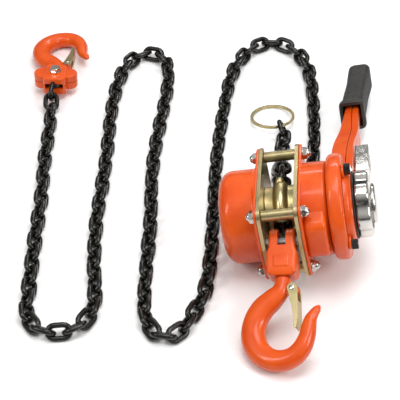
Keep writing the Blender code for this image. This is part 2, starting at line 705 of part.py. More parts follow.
def yoke_half(name, side):
    """Half of the chain-end yoke; its frame is on the bolt, +Y to the chain."""
    plan = hull_outline([((x, y), 6) for x, y in ((-8, -12.2), (8, -12.2), (-9, 13), (9, 13))], 8)
    body = slab(name, plan, side * 0.2, side * 11.6)
    for centre in ((-17, -1), (17, -1)):
        lobe = slab("lobe", arc(centre, 11, 0, 337.5, 15), side * 0.2, side * 9.6)
        join(body, lobe)
    boss = slab("boss", shifted(rounded_rectangle(10.5, 8.5, 2, 1), (0, -1)), side * 10.5, side * 12.6)
    join(body, boss)
    shank = rod("shank", -22, -11, 7.1)
    shank.data.transform(turned("Z", 90))
    head = rod("head", -15.5, -10.9, 10.4, 16)
    head.data.transform(turned("Z", 90))
    room = box("room", (-11.6, -11.2, -4.0), (11.6, 30, 4.0))
    bolt = rod("bolt", -20, 20, 4.0)
    bolt.data.transform(turned("Y", 90))
    return cut(body, shank, head, room, bolt)


def build_bottom_yoke(frame, materials):
    finish(yoke_half("bottom_yoke_upper", 1), materials["paint"], frame)
    finish(yoke_half("bottom_yoke_lower", -1), materials["paint"], frame)
    bolt = turn_profile("yoke_bolt", [(-11.5, 0), (-11.5, 3.6), (12.9, 3.6), (12.9, 0)], SLIM)
    head = prism("head", arc((0, 0), 6.6, 0, 300, 5), 12.9, 18)
    join(bolt, head)
    bolt.data.transform(turned("Y", -90))
    finish(bolt, materials["chrome"], frame)


def chain_link(name, frame, material):
    """One link, lying in its frame's XY plane with its length along Y."""
    bend = (LINK_WIDTH - WIRE) / 2
    half_straight = (PITCH + WIRE) / 2 - bend
    centres = arc((0, half_straight), bend, 0, 180, 6) + arc((0, -half_straight), bend, 180, 360, 6)
    rings = []
    for i, (x, y) in enumerate(centres):
        before = Vector(centres[i - 1])
        after = Vector(centres[(i + 1) % len(centres)])
        rings.append(hook_ring((x, y), (after - before).normalized(), WIRE, WIRE, 8))
    return finish(outward(skin(name, rings, closed=True)), material, frame)


def build_end_ring(frame, material):
    """A split ring; its frame is where its wire passes through the last link."""
    radius, wire = 26.5, 3.2
    rings = []
    for i in range(RING_STEPS):
        angle = 2 * math.pi * i / RING_STEPS
        centre = (radius * math.sin(angle), radius - radius * math.cos(angle))
        direction = Vector((math.cos(angle), math.sin(angle)))
        rings.append(hook_ring(centre, direction, wire, wire, 6))
    finish(outward(skin("end_ring", rings, closed=True)), material, frame)


# ---------------------------------------------------------------- chain runs

LIE = CHAIN_RADIUS + 0.1
LOAD_ROUTE = (
    (-304, 255, 14.5), (-302.4, 236, LIE + 1.5), (-298, 199, LIE), (-294, 131, LIE), (-287, 63, LIE),
    (-283, -7, LIE), (-277, -82, LIE), (-274, -118, LIE), (-263, -138, LIE), (-241, -145, LIE),
    (-219, -138, LIE), (-205, -118, LIE), (-203, -88, LIE), (-211, -38, LIE), (-217, 34, LIE),
    (-218, 96, LIE), (-220, 159, LIE), (-224, 238, LIE), (-221, 304, LIE), (-208, 346, LIE),
    (-184, 360, LIE), (-164, 343, LIE), (-157, 302, LIE), (-158, 243, LIE), (-161, 173, LIE),
    (-160, 108, LIE), (-154, 31, LIE), (-151, -51, LIE), (-146, -112, LIE), (-129, -142, LIE),
    (-108, -137, LIE), (-95, -110, LIE), (-84, -76, LIE), (-81, -28, LIE), (-82, 48, LIE),
    (-84, 131, LIE), (-82, 224, LIE), (-74, 321, LIE), (-53, 376, LIE), (-23, 395, LIE),
    (8, 379, LIE), (27, 335, LIE), (34, 252, LIE), (34, 160, LIE), (27, 120, LIE + 0.4),
    (17, 94, LIE + 4.5), (11, 74, 21.5), (7.4, 58, 31.5), (6.2, 47, 35.5), (5.9, 37.6, 36.5),
)
TAIL_ROUTE = (
    (-4.1, 41.4, 83.5), (-4.2, 51, 82.3), (-5, 66, 75.5), (-6.4, 79, 63), (-7.5, 88, 47), (-8.3, 97, 30),
    (-8.7, 111, 16), (-8.4, 130, LIE + 1.2), (-6.2, 158, LIE), (-3.6, 178, LIE), (-3.2, 191.6, LIE),
)


def smooth_route(route, spacing):
    """Evenly spaced points on a smooth curve through the route's own points."""
    points = [Vector(p) for p in route]
    points = [2 * points[0] - points[1], *points, 2 * points[-1] - points[-2]]
    fine = []
    for a, b, c, d in zip(points, points[1:], points[2:], points[3:]):
        for i in range(24):
            t = i / 24
            square, cube = (2 * a - 5 * b + 4 * c - d) * t ** 2, (3 * b - a - 3 * c + d) * t ** 3
            fine.append((2 * b + (c - a) * t + square + cube) / 2)
    fine.append(points[-2])
    lengths = [0.0]
    for p, q in zip(fine, fine[1:]):
        lengths.append(lengths[-1] + (q - p).length)
    count = max(2, round(lengths[-1] / spacing))
    even, k = [], 0
    for i in range(count + 1):
        target = lengths[-1] * i / count
        while k < len(fine) - 2 and lengths[k + 1] < target:
            k += 1
        share = (target - lengths[k]) / (lengths[k + 1] - lengths[k])
        even.append(fine[k].lerp(fine[k + 1], share))
    return even


def chain_tube(name, points, frame, material, radius=CHAIN_RADIUS):
    """The space a run of chain takes up, as a tube along its middle line."""
    curve = bpy.data.curves.new(name, "CURVE")
    curve.dimensions = "3D"
    curve.bevel_depth = radius * MM
    curve.bevel_resolution = 2
    curve.use_fill_caps = True
    spline = curve.splines.new("POLY")
    spline.points.add(len(points) - 1)
    for target, point in zip(spline.points, points):
        target.co = (*(Vector(point) * MM), 1.0)
    curve.materials.append(material)
    tube = bpy.data.objects.new(name, curve)
    bpy.context.collection.objects.link(tube)
    tube.parent = frame
    return tube


def build_chain(floor, hoist, materials):
    """The free load chain and tail chain, and the stretch held on the sheave between them."""
    black = materials["black"]
    chain_tube("load_chain", smooth_route(LOAD_ROUTE, 35.0), floor, black)
    chain_tube("tail_chain", smooth_route(TAIL_ROUTE, 16), floor, black)
    wrap = [(0, y, z) for y, z in arc((0, 0), SHEAVE_PITCH_RADIUS, 90, 270, 12)]
    straight = [(0, 38, SHEAVE_PITCH_RADIUS), (0, 19, SHEAVE_PITCH_RADIUS)]
    lower = [(0, 19, -SHEAVE_PITCH_RADIUS), (0, 38, -SHEAVE_PITCH_RADIUS)]
    chain_tube("chain_on_sheave", straight + wrap + lower, hoist, black)


# ---------------------------------------------------------------- assembly


def build_hoist_body(floor, materials):
    lie = turned("Y", -SHAFT_TILT) @ turned("X", HOIST_ROLL)
    hoist = place_frame("hoist_frame", floor, (0, 0, SHAFT_HEIGHT), lie)
    build_side_plates(hoist, materials["zinc"])
    build_gear_cover(hoist, materials["paint"])
    build_brake_cover(hoist, materials["paint"])
    build_stays(hoist, materials)
    build_chain_guide(hoist, materials["zinc"])
    build_top_pin(hoist, materials["steel"])
    build_pawl_pins(hoist, materials["steel"])
    build_sheave(hoist, materials)
    build_pinion_shaft(hoist, materials["steel"])
    build_brake_hub(hoist, materials["steel"])
    build_ratchet(hoist, materials)
    build_change_gear(hoist, materials["steel"])
    build_handwheel(hoist, materials)
    build_end_cap(hoist, materials["chrome"])
    for name, side in (("upper", 1), ("lower", -1)):
        axis = place_frame(f"disc_gear_{name}_axis", hoist, (0, 0, side * GEAR_SPACING))
        build_disc_gear(f"disc_gear_{name}", axis, materials["steel"])
    for index, name in enumerate(("upper", "lower")):
        axis = place_frame(f"pawl_{name}_axis", hoist, (0, *pawl_pivot(index)))
        build_pawl(f"pawl_{name}", axis, index, materials["steel"])
    return hoist


def build_lever(hoist, materials):
    lever = place_frame("lever_frame", hoist, (0, 0, 0), turned("X", LEVER_DROP))
    build_lever_inner(lever, materials["paint"])
    build_lever_outer(lever, materials["paint"])
    build_lever_bolts(lever, materials["black"])
    build_grip(lever, materials["rubber"])
    selector = place_frame("selector_axis", lever, (0, SELECTOR_PIVOT, 0))
    build_selector(selector, materials)


def build_top_hook(hoist, materials):
    lie = turned("X", YOKE_DROP) @ turned("Z", YOKE_LEAN)
    yoke = place_frame("top_yoke_axis", hoist, (0, TOP_PIN_Y, 0), lie)
    build_top_yoke(yoke, materials["paint"])
    hook = place_frame("top_hook_frame", yoke, (0, -PIN_TO_BOWL, 0), turned("Y", HOOK_SWIVEL))
    build_hook("top_hook", hook, ((87.0, 13.2), (57.8, 13.2)), 1.0, materials["paint"])
    build_top_collar(hook, materials["steel"])
    latch = place_frame("top_latch_axis", hook, (*LATCH_PIVOT, 0))
    build_latch("top_latch", latch, 1.0, materials)


def build_bottom_hook(floor, materials):
    size = BOTTOM_HOOK_SIZE
    lie = turned("Z", 1.2) @ turned("X", 180 - 5.0) @ turned("Y", 4)
    hook = place_frame("bottom_hook_frame", floor, (-303.5, 349.9, 13.3), lie)
    shank = ((65.0, 19.0), (61.4, 19.0), (61.2, 13.2), (57.8, 13.2))
    build_hook("bottom_hook", hook, shank, size, materials["paint"])
    latch = place_frame("bottom_latch_axis", hook, (LATCH_PIVOT[0] * size, LATCH_PIVOT[1] * size, 0))
    build_latch("bottom_latch", latch, size, materials)
    yoke = place_frame("bottom_yoke_axis", hook, (0, BOLT_TO_BOWL, 0), turned("Y", 180 - 4))
    build_bottom_yoke(yoke, materials)
    return yoke


def build_link_ends(floor, yoke, materials):
    """The link held by the yoke's bolt, the tail's last link and the ring in it."""
    anchor = place_frame("anchor_link_frame", yoke, (0, PITCH / 2 - 4.6, 0))
    chain_link("anchor_link", anchor, materials["black"])
    last = place_frame("tail_link_frame", floor, (-5.0, 207.6, 10.9), turned("Z", 12) @ turned("Y", 62))
    chain_link("tail_end_link", last, materials["black"])
    ring = place_frame("end_ring_axis", floor, (-6.4, 214.2, 10.9), turned("Z", 27) @ turned("X", -9.6))
    build_end_ring(ring, materials["zinc"])


def main():
    clear_scene()
    materials = make_materials()
    middle_x, middle_y = OUTLINE_MIDDLE
    floor = place_frame("floor_frame", None, (-middle_x, -middle_y, 0))
    hoist = build_hoist_body(floor, materials)
    build_lever(hoist, materials)
    build_top_hook(hoist, materials)
    yoke = build_bottom_hook(floor, materials)
    build_link_ends(floor, yoke, materials)
    build_chain(floor, hoist, materials)


main()
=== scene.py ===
"""The looks of the lever chain hoist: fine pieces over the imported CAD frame, materials, light and camera.

Lengths are in millimetres, as in the CAD script, and are scaled to metres where meshes are made. Each
piece is made in the frame of its own joint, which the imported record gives: in the hoist's frame X runs
along the shaft towards the lever, -Y points to the top hook and Z is up.
"""

import json
import math
import random

import bmesh
import bpy
from mathutils import Matrix, Vector

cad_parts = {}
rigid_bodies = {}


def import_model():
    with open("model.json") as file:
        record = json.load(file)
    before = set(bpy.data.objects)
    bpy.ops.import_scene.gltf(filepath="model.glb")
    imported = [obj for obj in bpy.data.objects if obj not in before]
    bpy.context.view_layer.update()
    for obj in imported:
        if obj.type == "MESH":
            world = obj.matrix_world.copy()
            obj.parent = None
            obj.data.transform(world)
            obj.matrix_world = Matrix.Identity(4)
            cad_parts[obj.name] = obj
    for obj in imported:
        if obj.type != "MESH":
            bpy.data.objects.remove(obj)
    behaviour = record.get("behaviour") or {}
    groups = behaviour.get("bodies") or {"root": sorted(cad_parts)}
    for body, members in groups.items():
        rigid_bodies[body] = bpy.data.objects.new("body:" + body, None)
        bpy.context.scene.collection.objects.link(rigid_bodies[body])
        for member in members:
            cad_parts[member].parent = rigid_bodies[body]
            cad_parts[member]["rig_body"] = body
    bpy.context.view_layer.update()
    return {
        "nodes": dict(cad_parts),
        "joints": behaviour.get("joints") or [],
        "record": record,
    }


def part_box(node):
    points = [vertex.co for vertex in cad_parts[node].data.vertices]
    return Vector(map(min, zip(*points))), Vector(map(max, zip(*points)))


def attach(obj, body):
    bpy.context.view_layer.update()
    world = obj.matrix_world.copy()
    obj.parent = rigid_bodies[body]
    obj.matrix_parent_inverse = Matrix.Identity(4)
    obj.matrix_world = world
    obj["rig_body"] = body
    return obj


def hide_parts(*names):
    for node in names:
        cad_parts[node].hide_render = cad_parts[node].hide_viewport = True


MM = 0.001

# The CAD script's driving sizes, in the same names
INNER, OUTER, FLANGE_FACE = 18.0, 22.0, 25.3
CORNER = 11.0
STAYS = {
    "front_upper": (-52.0, 37.0),
    "front_lower": (-52.0, -37.0),
    "rear_upper": (45.0, 45.0),
    "rear_lower": (45.0, -45.0),
}
TOP_PIN_Y = -52.0
COVER_RADIUS = 52.0
GEAR_COVER_END = 67.0
BRAKE_COVER_END = 51.5
BRAKE_LOBE_END = 49.0
WIRE, PITCH, LINK_WIDTH = 6.2, 18.0, 20.7
CHAIN_RADIUS = 8.5
SHEAVE_PITCH_RADIUS = 24.0
LEVER_RADIUS = 58.5
LEVER_BOLT_RADIUS = 52.7
LEVER_BOLT_ANGLES = (100, 200, 300)
WHEEL_RADIUS = 36.5
PIN_TO_BOWL = 101.0
BOTTOM_HOOK_SIZE = 0.9
BOLT_TO_BOWL = 70.4
LATCH_PIVOT = (12.4, 44.6)
PRONG_HALF_WIDTH = 14.2
YOKE_HALF_WIDTH = 16.3

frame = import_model()
NODES = frame["nodes"]
JOINTS = {joint["name"]: joint for joint in frame["joints"]}
SLOTS = {row["node"]: row["material_slot"] for row in frame["record"]["subparts"]}


# ---------------------------------------------------------------- frames


def joint_place(name):
    return Vector(JOINTS[name]["pos_m"])


def joint_axis(name):
    return Vector(JOINTS[name]["axis"]).normalized()


def frame_at(origin, x, y):
    """A frame with X along x, and with Y in the plane of x and y."""
    x = x.normalized()
    z = x.cross(y).normalized()
    return Matrix.Translation(origin) @ Matrix((x, z.cross(x), z)).transposed().to_4x4()


def moved(x, y, z):
    return Matrix.Translation(Vector((x, y, z)) * MM)


def turned(axis, degrees):
    return Matrix.Rotation(math.radians(degrees), 4, axis)


def hook_frame(end, joint):
    up, face = joint_axis(f"{end}_hook_swivel"), joint_axis(f"{end}_latch_open")
    return frame_at(joint_place(joint), up.cross(face), up)


SHAFT = joint_place("sheave_spin")
ACROSS = joint_axis("sheave_spin")
FLOOR = Matrix.Translation((SHAFT.x, SHAFT.y, 0))
HOIST = frame_at(SHAFT, ACROSS, (joint_place("disc_gear_upper_spin") - SHAFT).cross(ACROSS))
LEVER = frame_at(SHAFT, ACROSS, joint_place("selector_turn") - SHAFT)
SELECTOR = frame_at(joint_place("selector_turn"), ACROSS, joint_place("selector_turn") - SHAFT)
TOP_YOKE = frame_at(
    joint_place("top_yoke_pivot"), joint_axis("top_yoke_pivot"), joint_axis("top_hook_swivel")
)
TOP_HOOK = hook_frame("top", "top_hook_swivel")
TOP_LATCH = hook_frame("top", "top_latch_open")
BOTTOM_HOOK = hook_frame("bottom", "bottom_hook_swivel")
BOTTOM_LATCH = hook_frame("bottom", "bottom_latch_open")
BOTTOM_YOKE = BOTTOM_HOOK @ moved(0, BOLT_TO_BOWL, 0) @ turned("Y", 180 - 4)
TAIL_LINK = FLOOR @ moved(-5.0, 207.6, 10.9) @ turned("Z", 12) @ turned("Y", 62)
RING_MIDDLE = sum(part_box("end_ring"), Vector()) / 2
RING = frame_at(
    joint_place("end_ring_swing"), joint_axis("end_ring_swing"), RING_MIDDLE - joint_place("end_ring_swing")
)


# ---------------------------------------------------------------- camera, light and floor


def build_camera():
    """The photograph's view: from the top hook's side, steeply down at the middle of chain and hoist."""
    elevation, swing, distance = math.radians(42.8), 4.0, 1.512
    middle = FLOOR @ (Vector((-100.0, 82.1, 0)) * MM)
    view = turned("Z", swing) @ Vector((0, math.cos(elevation), -math.sin(elevation)))
    data = bpy.data.cameras.new("camera")
    data.sensor_width, data.lens = 36.0, 114.2
    data.clip_end = 20.0
    camera = bpy.data.objects.new("camera", data)
    camera.location = middle - view * distance
    camera.rotation_euler = view.to_track_quat("-Z", "Y").to_euler()
    bpy.context.scene.collection.objects.link(camera)
    bpy.context.scene.camera = camera


def build_light(name, location, size, power, colour=(1.0, 1.0, 1.0)):
    data = bpy.data.lights.new(name, "AREA")
    data.shape = "RECTANGLE"
    data.size, data.size_y = size
    data.energy = power
    data.color = colour
    light = bpy.data.objects.new(name, data)
    light.location = location
    light.rotation_euler = (Vector((0, 0, 0)) - light.location).to_track_quat("-Z", "Y").to_euler()
    bpy.context.scene.collection.objects.link(light)


def build_studio():
    world = bpy.data.worlds.new("studio")
    world.use_nodes = True
    tree = world.node_tree
    place = tree.nodes.new("ShaderNodeTexCoord")
    parts = tree.nodes.new("ShaderNodeSeparateXYZ")
    sky = tree.nodes.new("ShaderNodeValToRGB")
    sky.color_ramp.elements[0].color = (0.05, 0.048, 0.046, 1.0)
    sky.color_ramp.elements[0].position = 0.1
    sky.color_ramp.elements[1].color = (0.62, 0.61, 0.59, 1.0)
    sky.color_ramp.elements[1].position = 0.8
    tree.links.new(place.outputs["Generated"], parts.inputs["Vector"])
    tree.links.new(parts.outputs["Z"], sky.inputs["Fac"])
    tree.links.new(sky.outputs["Color"], tree.nodes["Background"].inputs["Color"])
    tree.nodes["Background"].inputs["Strength"].default_value = 1.0
    bpy.context.scene.world = world
    bpy.context.scene.view_settings.view_transform = "Standard"
    build_light("softbox_top", (0.15, -0.1, 1.7), (1.1, 0.8), 15)
    build_light("softbox_left", (-1.0, -0.6, 1.1), (0.3, 0.7), 7)
    build_light("softbox_back", (0.2, 1.2, 1.0), (0.9, 0.2), 5)
    build_light("softbox_right", (1.2, -0.7, 1.1), (0.4, 0.8), 11)
    mesh = bpy.data.meshes.new("floor")
    half = 4.0
    corners = [(-half, -half, 0), (half, -half, 0), (half, half, 0), (-half, half, 0)]
    mesh.from_pydata(corners, [], [(0, 1, 2, 3)])
    floor = bpy.data.objects.new("floor", mesh)
    bpy.context.scene.collection.objects.link(floor)
    floor.data.materials.append(plain_material("floor_card", (0.93, 0.93, 0.935), 0.0, 0.32))


# ---------------------------------------------------------------- materials


def plain_material(name, colour, metallic, roughness):
    material = bpy.data.materials.new(name)
    material.use_nodes = True
    shader = material.node_tree.nodes["Principled BSDF"]
    shader.inputs["Base Color"].default_value = (*colour, 1.0)
    shader.inputs["Metallic"].default_value = metallic
    shader.inputs["Roughness"].default_value = roughness
    return material


def add_noise(tree, scale, detail=3.0, stretch=(1.0, 1.0, 1.0)):
    """A noise pattern fixed to the piece, with so many cells to the metre."""
    place = tree.nodes.new("ShaderNodeTexCoord")
    mapping = tree.nodes.new("ShaderNodeMapping")
    mapping.inputs["Scale"].default_value = stretch
    pattern = tree.nodes.new("ShaderNodeTexNoise")
    pattern.inputs["Scale"].default_value = scale
    pattern.inputs["Detail"].default_value = detail
    tree.links.new(place.outputs["Object"], mapping.inputs["Vector"])
    tree.links.new(mapping.outputs["Vector"], pattern.inputs["Vector"])
    return pattern.outputs["Fac"]


def tint(material, pattern, colours):
    """Colour the surface by a pattern, from (place, colour) stops."""
    tree = material.node_tree
    ramp = tree.nodes.new("ShaderNodeValToRGB")
    while len(ramp.color_ramp.elements) < len(colours):
        ramp.color_ramp.elements.new(0.5)
    for element, (place, colour) in zip(ramp.color_ramp.elements, colours):
        element.position = place
        element.color = (*colour, 1.0)
    tree.links.new(pattern, ramp.inputs["Fac"])
    tree.links.new(ramp.outputs["Color"], tree.nodes["Principled BSDF"].inputs["Base Color"])


def vary_roughness(material, pattern, low, high):
    tree = material.node_tree
    spread = tree.nodes.new("ShaderNodeMapRange")
    spread.inputs["From Min"].default_value = 0.3
    spread.inputs["From Max"].default_value = 0.7
    spread.inputs["To Min"].default_value = low
    spread.inputs["To Max"].default_value = high
    tree.links.new(pattern, spread.inputs["Value"])
    tree.links.new(spread.outputs["Result"], tree.nodes["Principled BSDF"].inputs["Roughness"])


def roughen(material, patterns, height):
    """Bump the surface by patterns laid over each other, each (pattern, strength)."""
    tree = material.node_tree
    before = None
    for pattern, strength in patterns:
        bump = tree.nodes.new("ShaderNodeBump")
        bump.inputs["Strength"].default_value = strength
        bump.inputs["Distance"].default_value = height * MM
        tree.links.new(pattern, bump.inputs["Height"])
        if before:
            tree.links.new(before, bump.inputs["Normal"])
        before = bump.outputs["Normal"]
    tree.links.new(before, tree.nodes["Principled BSDF"].inputs["Normal"])


def paint_material(name, cast):
    """Glossy orange enamel, thicker and thinner in places, on a casting that shows through as slow waves."""
    material = plain_material(name, (0.78, 0.10, 0.012), 0.0, 0.3)
    tree = material.node_tree
    shader = tree.nodes["Principled BSDF"]
    shader.inputs["Specular IOR Level"].default_value = 0.22
    shader.inputs["Coat Weight"].default_value = 0.3
    shader.inputs["Coat Roughness"].default_value = 0.07
    deep, usual, bright = (0.60, 0.056, 0.003), (0.66, 0.076, 0.005), (0.72, 0.098, 0.008)
    tint(material, add_noise(tree, 45, 4.0), [(0.25, deep), (0.45, usual), (0.75, bright)])
    vary_roughness(material, add_noise(tree, 130, 5.0), 0.26, 0.42)
    peel = add_noise(tree, 420, 2.0)
    waves = add_noise(tree, 85, 3.0)
    roughen(material, [(waves, 0.5 * cast), (peel, 0.12 + 0.25 * cast)], 0.6)
    return material


def zinc_material():
    """Yellow passivated zinc, which shifts between straw, olive and a faint rose."""
    material = plain_material("yellow_zinc", (0.62, 0.50, 0.24), 0.95, 0.3)
    tree = material.node_tree
    straw, olive, rose = (0.47, 0.39, 0.20), (0.31, 0.28, 0.14), (0.46, 0.35, 0.21)
    tint(material, add_noise(tree, 38, 5.0), [(0.28, olive), (0.5, straw), (0.74, rose)])
    vary_roughness(material, add_noise(tree, 120, 3.0), 0.26, 0.4)
    roughen(material, [(add_noise(tree, 260, 2.0), 0.06)], 0.3)
    return material


def black_material():
    """Blackened steel with a film of oil, browner where the oxide is thin."""
    material = plain_material("black_oxide", (0.010, 0.010, 0.010), 0.0, 0.22)
    tree = material.node_tree
    tree.nodes["Principled BSDF"].inputs["Specular IOR Level"].default_value = 0.4
    tint(material, add_noise(tree, 90, 5.0), [(0.35, (0.003, 0.003, 0.0025)), (0.75, (0.012, 0.010, 0.007))])
    vary_roughness(material, add_noise(tree, 240, 4.0), 0.12, 0.3)
    roughen(material, [(add_noise(tree, 420, 3.0), 0.2)], 0.4)
    return material


def chrome_material():
    """Bright plating over a casting, with a fine unevenness that breaks up its reflections."""
    material = plain_material("chrome_plate", (0.72, 0.71, 0.69), 1.0, 0.16)
    tree = material.node_tree
    tint(material, add_noise(tree, 60, 4.0), [(0.3, (0.50, 0.49, 0.46)), (0.65, (0.68, 0.66, 0.63))])
    vary_roughness(material, add_noise(tree, 200, 4.0), 0.1, 0.26)
    roughen(material, [(add_noise(tree, 110, 3.0), 0.25), (add_noise(tree, 900, 2.0), 0.06)], 0.3)
    return material


def steel_material():
    """Turned steel: fine marks that run round the shaft's axis."""
    material = plain_material("machined_steel", (0.42, 0.42, 0.43), 1.0, 0.36)
    tree = material.node_tree
    tint(material, add_noise(tree, 70, 4.0), [(0.3, (0.34, 0.34, 0.35)), (0.7, (0.50, 0.50, 0.51))])
    vary_roughness(material, add_noise(tree, 300, 4.0), 0.26, 0.44)
    roughen(material, [(add_noise(tree, 2400, 2.0, (1.0, 0.05, 0.05)), 0.2)], 0.2)
    return material


def lining_material():
    """Pressed friction lining with flecks of metal and fibre."""
    material = plain_material("brake_lining", (0.10, 0.07, 0.05), 0.0, 0.9)
    tree = material.node_tree
    tint(material, add_noise(tree, 900, 3.0), [(0.4, (0.07, 0.05, 0.04)), (0.75, (0.20, 0.15, 0.10))])
    roughen(material, [(add_noise(tree, 900, 3.0), 0.5)], 0.3)
    return material


def rubber_material():
    material = plain_material("grip_rubber", (0.022, 0.022, 0.023), 0.0, 0.5)
    tree = material.node_tree
    tint(material, add_noise(tree, 80, 4.0), [(0.3, (0.013, 0.012, 0.011)), (0.75, (0.028, 0.026, 0.023))])
    vary_roughness(material, add_noise(tree, 220, 3.0), 0.42, 0.62)
    roughen(material, [(add_noise(tree, 1300, 2.0), 0.25)], 0.3)
    return material


MATERIALS = {
    "orange_paint": paint_material("orange_paint", 0.12),
    "yellow_zinc": zinc_material(),
    "black_oxide": black_material(),
    "chrome_plate": chrome_material(),
    "machined_steel": steel_material(),
    "brake_lining": lining_material(),
    "grip_rubber": rubber_material(),
}
CAST_PAINT = paint_material("orange_paint_cast", 0.45)


# ---------------------------------------------------------------- shapes


def mesh_object(name, points, faces):
    mesh = bpy.data.meshes.new(name)
    mesh.from_pydata([Vector(p) * MM for p in points], [], faces)
    mesh.update()
    piece = bpy.data.objects.new(name, mesh)
    bpy.context.scene.collection.objects.link(piece)
    return piece


def applied(piece):
    """Keep what the piece's modifiers make as its mesh."""
    bpy.context.view_layer.update()
    shape = piece.evaluated_get(bpy.context.evaluated_depsgraph_get())
    mesh = bpy.data.meshes.new_from_object(shape)
    piece.modifiers.clear()
    piece.data = mesh
    return piece


def combine(piece, tools, operation):
    for tool in tools:
        modifier = piece.modifiers.new(operation, "BOOLEAN")
        modifier.operation = operation
        modifier.object = tool
    applied(piece)
    for tool in tools:
        bpy.data.objects.remove(tool)
    return piece


def cut(piece, *tools):
    return combine(piece, tools, "DIFFERENCE")


def join(piece, *tools):
    return combine(piece, tools, "UNION")


def common(piece, *tools):
    return combine(piece, tools, "INTERSECT")


def soften(piece, width, segments=2, angle=30.0):
    """Round every edge that turns by more than angle."""
    shape = bmesh.new()
    shape.from_mesh(piece.data)
    bmesh.ops.remove_doubles(shape, verts=shape.verts, dist=0.02 * MM)
    bmesh.ops.dissolve_limit(
        shape, angle_limit=math.radians(0.4), verts=shape.verts, edges=shape.edges, delimit={"NORMAL"}
    )
    shape.to_mesh(piece.data)
    shape.free()
    bevel = piece.modifiers.new("edges", "BEVEL")
    bevel.width = width * MM
    bevel.segments = segments
    bevel.limit_method = "ANGLE"
    bevel.angle_limit = math.radians(angle)
    return applied(piece)


def show(piece, place, *nodes, material=None, sharp=40.0):
    """Put a piece in its frame over the CAD nodes it stands for, on their body and in their finish."""
    slot = SLOTS[nodes[0]]
    piece.data.materials.clear()
    piece.data.materials.append(material or MATERIALS[slot])
    piece.data.shade_smooth()
    piece.data.set_sharp_from_angle(angle=math.radians(sharp))
    weighted = piece.modifiers.new("normals", "WEIGHTED_NORMAL")
    weighted.keep_sharp = True
    piece.data.transform(place)
    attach(piece, NODES[nodes[0]]["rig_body"])
    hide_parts(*nodes)
    return piece


def skin(name, rings, closed=False):
    """Faces between neighbouring rings of points, which all have one count or are a single point."""
    points, spans = [], []
    for ring in rings:
        spans.append(range(len(points), len(points) + len(ring)))
        points += ring
    count = max(len(ring) for ring in rings)
    faces = []
    pairs = list(zip(spans, spans[1:]))
    if closed:
        pairs.append((spans[-1], spans[0]))
    for first, second in pairs:
        if len(first) == 1 and len(second) == 1:
            continue
        for i in range(count):
            j = (i + 1) % count
            corners = [ring[k % len(ring)] for ring, k in ((first, i), (first, j), (second, j), (second, i))]
            faces.append(list(dict.fromkeys(corners)))
    if not closed:
        if len(spans[0]) > 1:
            faces.append(list(reversed(spans[0])))
        if len(spans[-1]) > 1:
            faces.append(list(spans[-1]))
    return outward(mesh_object(name, points, faces))


def outward(piece):
    """Turn the faces of a closed shape outward, whichever way its outline was drawn."""
    volume = 0.0
    for face in piece.data.polygons:
        corners = [piece.data.vertices[i].co for i in face.vertices]
        for second, third in zip(corners[1:], corners[2:]):
            volume += corners[0].dot(second.cross(third))
    if volume < 0:
        piece.data.flip_normals()
    return piece


def arc(centre, radius, start, end, steps):
    points = []
    for i in range(steps + 1):
        angle = math.radians(start + (end - start) * i / steps)
        points.append((centre[0] + radius * math.cos(angle), centre[1] + radius * math.sin(angle)))
    return points


def turn_profile(name, profile, sides=64, centre=(0.0, 0.0), closed=False):
    """A solid turned about an axis parallel to X, from (x, radius) points."""
    rings = []
    for x, radius in profile:
        if radius == 0:
            rings.append([(x, *centre)])
        else:
            rings.append([(x, y, z) for y, z in arc(centre, radius, 0, 360 - 360 / sides, sides - 1)])
    return skin(name, rings, closed)


def rod(name, x0, x1, radius, sides=32, centre=(0.0, 0.0)):
    return turn_profile(name, [(x0, 0), (x0, radius), (x1, radius), (x1, 0)], sides, centre)


def prism(name, outline, x0, x1):
    """A plate whose outline of (y, z) points is pushed along X."""
    return skin(name, [[(x, y, z) for y, z in outline] for x in (x0, x1)])


def slab(name, outline, z0, z1):
    """A plate whose outline of (x, y) points is pushed along Z."""
    return skin(name, [[(x, y, z) for x, y in outline] for z in (z0, z1)])


def box(name, low, high):
    outline = [(low[0], low[1]), (high[0], low[1]), (high[0], high[1]), (low[0], high[1])]
    return slab(name, outline, low[2], high[2])


def facing(piece, axis, degrees):
    piece.data.transform(turned(axis, degrees))
    return piece


def hull_outline(circles, steps=72):
    """The outline of a tight belt around circles, each given as (centre, radius)."""
    last = 360 - 360 / steps
    points = sorted(p for centre, radius in circles for p in arc(centre, radius, 0, last, steps - 1))

    def half(ordered):
        chain = []
        for p in ordered:
            while len(chain) > 1:
                (ax, ay), (bx, by) = chain[-2], chain[-1]
                if (bx - ax) * (p[1] - ay) - (by - ay) * (p[0] - ax) > 1e-9:
                    break
                chain.pop()
            chain.append(p)
        return chain[:-1]

    return half(points) + half(points[::-1])


def shifted(outline, offset):
    return [(a + offset[0], b + offset[1]) for a, b in outline]


def polar(radius, degrees):
    return radius * math.cos(math.radians(degrees)), radius * math.sin(math.radians(degrees))


def rounded_rectangle(half_a, half_b, radius, steps=6):
    outline = []
    for sa, sb, start in ((1, 1, 0), (-1, 1, 90), (-1, -1, 180), (1, -1, 270)):
        outline += arc((sa * (half_a - radius), sb * (half_b - radius)), radius, start, start + 90, steps)
    return outline


def smooth_line(points, steps):
    """Points on a smooth curve through the given ones, each a tuple of any length, steps to a stretch."""
    points = [Vector(p) for p in points]
    points = [2 * points[0] - points[1], *points, 2 * points[-1] - points[-2]]
    fine = []
    for a, b, c, d in zip(points, points[1:], points[2:], points[3:]):
        for i in range(steps):
            t = i / steps
            square, cube = (2 * a - 5 * b + 4 * c - d) * t ** 2, (3 * b - a - 3 * c + d) * t ** 3
            fine.append((2 * b + (c - a) * t + square + cube) / 2)
    return fine + [points[-2]]


# ---------------------------------------------------------------- chain

